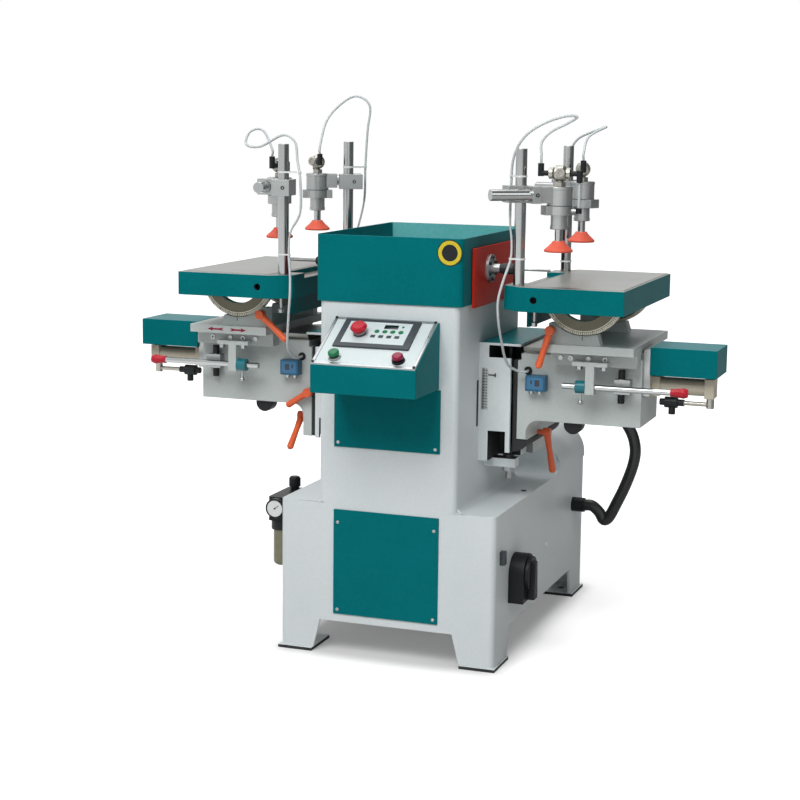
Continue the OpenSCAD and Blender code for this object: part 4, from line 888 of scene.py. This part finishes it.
def addTie(clamp, level, part, look):
    route = tubeLines[clamp]
    tubeAt = route[firstBelow(route, level)].to_2d()
    postAt = Vector((clamps[clamp]["side"] * postX, clamps[clamp]["postY"]))
    held = ((postAt, look["postRadius"]), (tubeAt, look["tubeRadius"]))
    high, steps = look["height"], look["steps"]
    work = bmesh.new()
    rings = []
    section = ((look["inner"], 0), (look["thick"], 0), (look["thick"], high), (look["inner"], high))
    for wide, z in section:
        ring = []
        for k in range(steps):
            turn = 2 * math.pi * k / steps
            way = Vector((math.cos(turn), math.sin(turn)))
            at, r = max(held, key=lambda item: item[0].dot(way) + item[1])
            spot = at + (r + wide) * way
            ring.append(work.verts.new(Vector((spot.x, spot.y, level - high / 2 + z)) * mm))
        rings.append(ring)
    for low, top in zip(rings, rings[1:] + rings[:1]):
        for k in range(steps):
            work.faces.new((low[k], low[(k + 1) % steps], top[(k + 1) % steps], top[k]))
    finishPiece(clamp + "_tie_" + part, work, ["whiteNylon"], clamp + "_" + part)


for clamp, level, part in tiePlaces:
    addTie(clamp, level, part, tieLook)

# Ribs of the regulator knob
knobLook = {"middle": (-325, -200, 364), "radius": 14, "ribs": 28, "rib": (20, 1.3, 1.2)}


def addRibs(look):
    ribs = []
    for k in range(look["ribs"]):
        turn = 2 * math.pi * k / look["ribs"]
        out = Vector((math.cos(turn), math.sin(turn), 0))
        ribs.append((Vector(look["middle"]) + look["radius"] * out, frameOf((0, 0, 1), out)))
    addRow("knob_ribs", "blackAbs", "regulator_knob", "black_plastic", look["rib"], ribs)


addRibs(knobLook)

# Pressure gauge: rim, dial and needle
gaugeLook = {"place": (-325, -325, 321), "radius": 24, "face": 20.5, "needle": (15, 1.2, 0.5),
             "needleAt": (0.004, 0.003, 0.001), "needleTurn": 0.7, "steps": 40}


def addGauge(look):
    work = bmesh.new()
    place = placeAt(look["place"], forward)
    r, f, steps = look["radius"], look["face"], look["steps"]
    addLathe(work, [(r + 0.3, -8), (r + 0.3, 0.8), (r - 0.6, 1.6), (f + 0.6, 1.6), (f, 1.2), (f, 0.4)],
             place, 0, steps)
    addLathe(work, [(f, 0.4), (0, 0.4)], place, 1, steps)
    needle = Matrix.Translation(look["needleAt"]) @ Matrix.Rotation(look["needleTurn"], 4, "Z")
    addBox(work, look["needle"], place @ needle, 0, 0.1)
    addLathe(work, [(2.2, 0.4), (2.2, 1.2), (0, 1.4)], place, 0, 16)
    finishPiece("gauge_dial", work, ["blackAbs", "whiteNylon"], "frame")


addGauge(gaugeLook)

# Trip switch: raised face plate with two dark marks, and two cable bumps below
tripLook = {"face": (40, 1.4, 28), "place": (314, -264.4, 665),
            "bumps": ((302, -252, 646), (322, -252, 646)), "bumpRadius": 6,
            "marks": ((5, 1, 11, 15), (-9, 3, 4, 9))}


def addTrip(side, look):
    s = sides[side]
    work = bmesh.new()
    x, y, z = look["place"]
    addBox(work, look["face"], placeAt((s * x, y, z)), 0, 0.5)
    r = look["bumpRadius"]
    bump = [(r, -1), (r, 5), (r - 1.5, 8), (0, 8.6)]
    for bumpX, bumpY, bumpZ in look["bumps"]:
        addLathe(work, bump, placeAt((s * bumpX, bumpY, bumpZ), down), 1, 24)
    for across, up, wide, tall in look["marks"]:
        addBox(work, (wide, 1.2, tall), placeAt((s * (x + across), y - 0.8, z + up)), 2, 0.3)
    finishPiece(side + "_trip_face", work, ["paleBlueAbs", "milledSteel", "slateAbs"],
                side + "_knee")


for side in sides:
    addTrip(side, tripLook)

# On the guide's front: perforated strip and pointer; on the column beside it, a long slot
stripLook = {"front": -250, "strip": (187.5, 643, 16, 100), "rows": 14, "pitch": 6.8, "across": 3.6,
             "hole": (4.2, 2.6, 0.3), "pointer": (204.5, 677, 19, 2.6), "pointerEnd": (3, 9),
             "slot": (172, -259.5, 608, 13, 111)}


def addStrip(side, look):
    s = sides[side]
    work = bmesh.new()
    y = look["front"]
    x, z, wide, tall = look["strip"]
    addBox(work, (wide, 1.4, tall), placeAt((s * x, y - 0.5, z)), 0, 0.3)
    holes = []
    for k in range(look["rows"]):
        level = z + look["pitch"] * (k - (look["rows"] - 1) / 2)
        for across in (-look["across"], look["across"]):
            holes.append(((s * (x + across), y - 1.2, level), frameOf((1, 0, 0), forward)))
    # The strip's holes are near-black boxes: painted shade of the openings
    addRow(side + "_strip_holes", "nearBlackMarksAndShade", "frame", "machined_steel", look["hole"], holes)
    x, z, wide, thick = look["pointer"]
    addBox(work, (wide, 2, thick), placeAt((s * x, y - 0.8, z)), 1, 0.3)
    thick, tall = look["pointerEnd"]
    addBox(work, (thick, 2, tall), placeAt((s * (x + wide / 2 - thick / 2), y - 0.9, z)), 1, 0.3)
    x, y, z, wide, tall = look["slot"]
    # The slot is a thin near-black sheet on the column: painted shade of the opening
    addBox(work, (0.8, wide, tall), placeAt((s * (x + 0.1), y, z)), 2, 0.3)
    finishPiece(side + "_guide_strip", work, ["anodisedAluminium", "blackenedSteel", "nearBlackMarksAndShade"],
                "frame")


for side in sides:
    addStrip(side, stripLook)

# Two travel arrows on the left saddle's lip, each with a notched tail
arrowLook = {"tips": (-511, -406), "long": 44, "head": 14, "headHigh": 10, "bar": 4, "tailHigh": 8,
             "notch": 5, "front": -315.3, "level": 757, "thick": 0.4}


def addArrows(look):
    work = bmesh.new()
    high, bar, tail = look["headHigh"] / 2, look["bar"] / 2, look["tailHigh"] / 2
    end, head = look["long"], look["head"]
    neck = end - head
    outline = [(0, 0), (head, -high), (head, -bar), (neck, -bar), (end, -tail), (end - look["notch"], 0),
               (end, tail), (neck, bar), (head, bar), (head, high)]
    for tip, way in zip(look["tips"], (1, -1)):
        corners = [work.verts.new(Vector((tip + way * x, look["front"], look["level"] + z)) * mm)
                   for x, z in outline]
        made = bmesh.ops.extrude_face_region(work, geom=[work.faces.new(corners)])
        bmesh.ops.translate(work, vec=(0, look["thick"] * mm, 0),
                            verts=[v for v in made["geom"] if isinstance(v, bmesh.types.BMVert)])
    bmesh.ops.triangulate(work, faces=work.faces)
    finishPiece("travel_arrows", work, ["crimsonAbs"], "left_saddle")


addArrows(arrowLook)

# Air cylinders: seam and rings on the body, union nut, tee and thumb screw of the flow control
cylinderLook = {"radius": 29, "top": 1128, "seam": 1086, "neck": 19, "neckEnd": 1033, "nut": 13,
                "tee": 18, "teeAt": 1158, "teeHalf": 25, "thumb": 11, "thumbLong": 27}


def addCylinderTrim(clamp, look):
    r, n, c = look["radius"], look["neck"], look["nut"]
    foot = Matrix.Translation(cylinderPlace(clamp, 0) * mm)
    work = bmesh.new()
    z = look["top"]
    addLathe(work, [(r - 0.2, z - 7), (r + 1, z - 6.4), (r + 1, z - 1.5), (r - 1, z + 0.6),
                    (r - 6, z + 0.8), (6, z + 0.8)], foot, 0, 48)
    z = look["seam"]
    addLathe(work, [(r - 0.2, z - 1), (r + 0.3, z - 0.8), (r + 0.3, z + 0.8), (r - 0.2, z + 1)],
             foot, 1, 48)
    z = look["neckEnd"]
    addLathe(work, [(n - 0.2, z + 8), (n + 1, z + 7.6), (n + 1, z + 1), (n, z - 0.4), (n - 5, z - 0.4)],
             foot, 0, 40)
    z = look["top"] + 0.8
    addLathe(work, [(c - 0.8, z), (c, z + 1), (c, z + 9), (c - 1, z + 10), (7, z + 10)], foot, 2, 6)
    middle = cylinderPlace(clamp, look["teeAt"])
    t, h = look["tee"], look["teeHalf"]
    half = [(7, -h), (12, -h), (13, 1 - h), (13, 9 - h), (11.5, 10 - h), (t - 3, 12 - h), (t, 16 - h)]
    addLathe(work, half + [(radius, -z) for radius, z in reversed(half)],
             placeAt(middle, fittingWay(clamp)), 2, 32)
    k, b = look["thumb"], look["thumbLong"]
    addLathe(work, [(8, 10), (8, b - 9), (k, b - 8), (k, b - 1), (k - 1, b), (k - 6, b),
                    (k - 7, b - 1.5), (0, b - 1.5)],
             placeAt(middle, (0.25 * clamps[clamp]["side"], -1, 0.1)), 2, 24)
    finishPiece(clamp + "_trim", work, ["anodisedAluminium", "slateAbs", "nickelBrass"],
                clamp + "_arm")


for clamp in clamps:
    addCylinderTrim(clamp, cylinderLook)

# Small things on the base: screw plug in the shelf, cable clip and pale plug in the side
baseLook = {"plug": (246.4, -100.8, 370), "clip": (274, -364, 264), "clipSize": (16, 20, 32),
            "sidePlug": (270, 33.5, 206)}


def addBaseTrim(look):
    work = bmesh.new()
    addLathe(work, [(7, 0), (7, 1.2), (6, 1.8), (3, 1.8), (2.6, 0.8), (0, 0.8)],
             placeAt(look["plug"]), 0, 24)
    addBox(work, look["clipSize"], placeAt(look["clip"]), 1, 1.5)
    addLathe(work, [(7, 0), (7, 4), (6, 5), (0, 5.4)], placeAt(look["sidePlug"], (1, 0, 0)), 2, 20)
    finishPiece("base_trim", work, ["blackenedSteel", "slateAbs", "whiteNylon"],
                "frame")


addBaseTrim(baseLook)
print("details added")

# Floor, light and background, in metres and watts
lightLook = {"key": ((-0.4, -4.3, 5.2), 3.0, 258), "fill": ((4.6, -2.6, 3.0), 3.0, 46),
             "top": ((-0.6, 0.8, 5.0), 3.0, 80)}
lightAim = Vector((0, 0, 0.6))
roomLook = {"strength": 0.34, "dimSide": (0.94, 0.34, 0.0), "dimFrom": 0.08, "dimTo": 0.6,
            "dimmed": 0.14}
# Under and near the base the floor's glow drops: a painted contact shadow
floorLook = {"size": 14, "colour": "#C4C4C3", "half": (0.235, 0.40, 0.0), "under": (0.0, 0.17),
             "near": (0.09, 0.66), "far": (2.4, 0.34)}


def seenRays(tree):  # straight sight, and sight by mirror or through clear plastic
    seen = addNode(tree, "ShaderNodeLightPath").outputs
    mirrored = addNode(tree, "ShaderNodeMath",
                       {0: seen["Is Glossy Ray"], 1: seen["Is Transmission Ray"]}, operation="MAXIMUM")
    return seen["Is Camera Ray"], mirrored.outputs[0]


def dimShare(tree, way):  # how much of the room's light comes from a direction; its right side is darker
    side = addNode(tree, "ShaderNodeVectorMath", {0: way, 1: roomLook["dimSide"]},
                   operation="DOT_PRODUCT")
    share = addNode(tree, "ShaderNodeMapRange",
                    {"Value": side.outputs["Value"], "From Min": roomLook["dimFrom"],
                     "From Max": roomLook["dimTo"], "To Min": 1.0, "To Max": roomLook["dimmed"]},
                    interpolation_type="SMOOTHSTEP")
    return share.outputs[0]


def floorFinish(look):  # pale floor that glows to white away from the base and keeps the shadow near it
    material = bpy.data.materials.new("paleFloor")
    material.use_nodes = True
    tree = material.node_tree
    tree.nodes.clear()
    place = addNode(tree, "ShaderNodeTexCoord").outputs["Object"]
    across = addNode(tree, "ShaderNodeVectorMath", {0: place}, operation="ABSOLUTE")
    past = addNode(tree, "ShaderNodeVectorMath", {0: across.outputs[0], 1: look["half"]},
                   operation="SUBTRACT")
    outside = addNode(tree, "ShaderNodeVectorMath", {0: past.outputs[0], 1: (0, 0, 0)},
                      operation="MAXIMUM")
    length = addNode(tree, "ShaderNodeVectorMath", {0: outside.outputs[0]}, operation="LENGTH")
    away = length.outputs["Value"]
    # The glow is least under the base: a painted contact shadow added to the shadow the floor keeps
    inner = addNode(tree, "ShaderNodeMapRange",
                    {"Value": away, "From Min": look["under"][0], "From Max": look["near"][0],
                     "To Min": look["under"][1], "To Max": look["near"][1]},
                    interpolation_type="SMOOTHSTEP")
    outer = addNode(tree, "ShaderNodeMapRange", {"Value": away, "From Min": look["near"][0],
                                                 "From Max": look["far"][0], "To Max": look["far"][1]})
    glow = addNode(tree, "ShaderNodeMath", {0: inner.outputs[0], 1: outer.outputs[0]}, operation="ADD")
    way = addNode(tree, "ShaderNodeVectorMath", {0: place}, operation="NORMALIZE").outputs[0]
    straight, mirrored = seenRays(tree)
    dimmed = addNode(tree, "ShaderNodeMath", {0: mirrored, 1: dimShare(tree, way)}, operation="MULTIPLY")
    seen = addNode(tree, "ShaderNodeMath", {0: straight, 1: dimmed.outputs[0]}, operation="MAXIMUM")
    shown = addNode(tree, "ShaderNodeMath", {0: seen.outputs[0], 1: glow.outputs[0]},
                    operation="MULTIPLY")
    shader = addNode(tree, "ShaderNodeBsdfPrincipled",
                     {"Base Color": linear(look["colour"]), "Roughness": 0.9,
                      "Emission Color": (1, 1, 1, 1), "Emission Strength": shown.outputs[0]})
    addNode(tree, "ShaderNodeOutputMaterial", {"Surface": shader.outputs[0]})
    return material


def addStage():
    work = bmesh.new()
    bmesh.ops.create_grid(work, x_segments=8, y_segments=8, size=floorLook["size"])
    floor = addPiece("floor", work)
    floor.data.materials.append(floorFinish(floorLook))
    for name, (place, size, power) in lightLook.items():
        data = bpy.data.lights.new(name + "Light", "AREA")
        data.energy = power
        data.size = size
        light = bpy.data.objects.new(name + "Light", data)
        light.location = place
        light.rotation_euler = (lightAim - Vector(place)).to_track_quat("-Z", "Y").to_euler()
        scene.collection.objects.link(light)
    world = bpy.data.worlds.new("whiteRoom")
    scene.world = world
    world.use_nodes = True
    tree = world.node_tree
    tree.nodes.clear()
    way = addNode(tree, "ShaderNodeTexCoord").outputs["Generated"]
    straight, mirrored = seenRays(tree)
    room = addNode(tree, "ShaderNodeMapRange", {"Value": mirrored, "To Min": roomLook["strength"]})
    shaded = addNode(tree, "ShaderNodeMath", {0: room.outputs[0], 1: dimShare(tree, way)},
                     operation="MULTIPLY")
    strength = addNode(tree, "ShaderNodeMapRange", {"Value": straight, "To Min": shaded.outputs[0]})
    sky = addNode(tree, "ShaderNodeBackground", {"Color": (1, 1, 1, 1), "Strength": strength.outputs[0]})
    addNode(tree, "ShaderNodeOutputWorld", {"Surface": sky.outputs[0]})
    scene.view_settings.view_transform = "Standard"


addStage()
print("stage set")
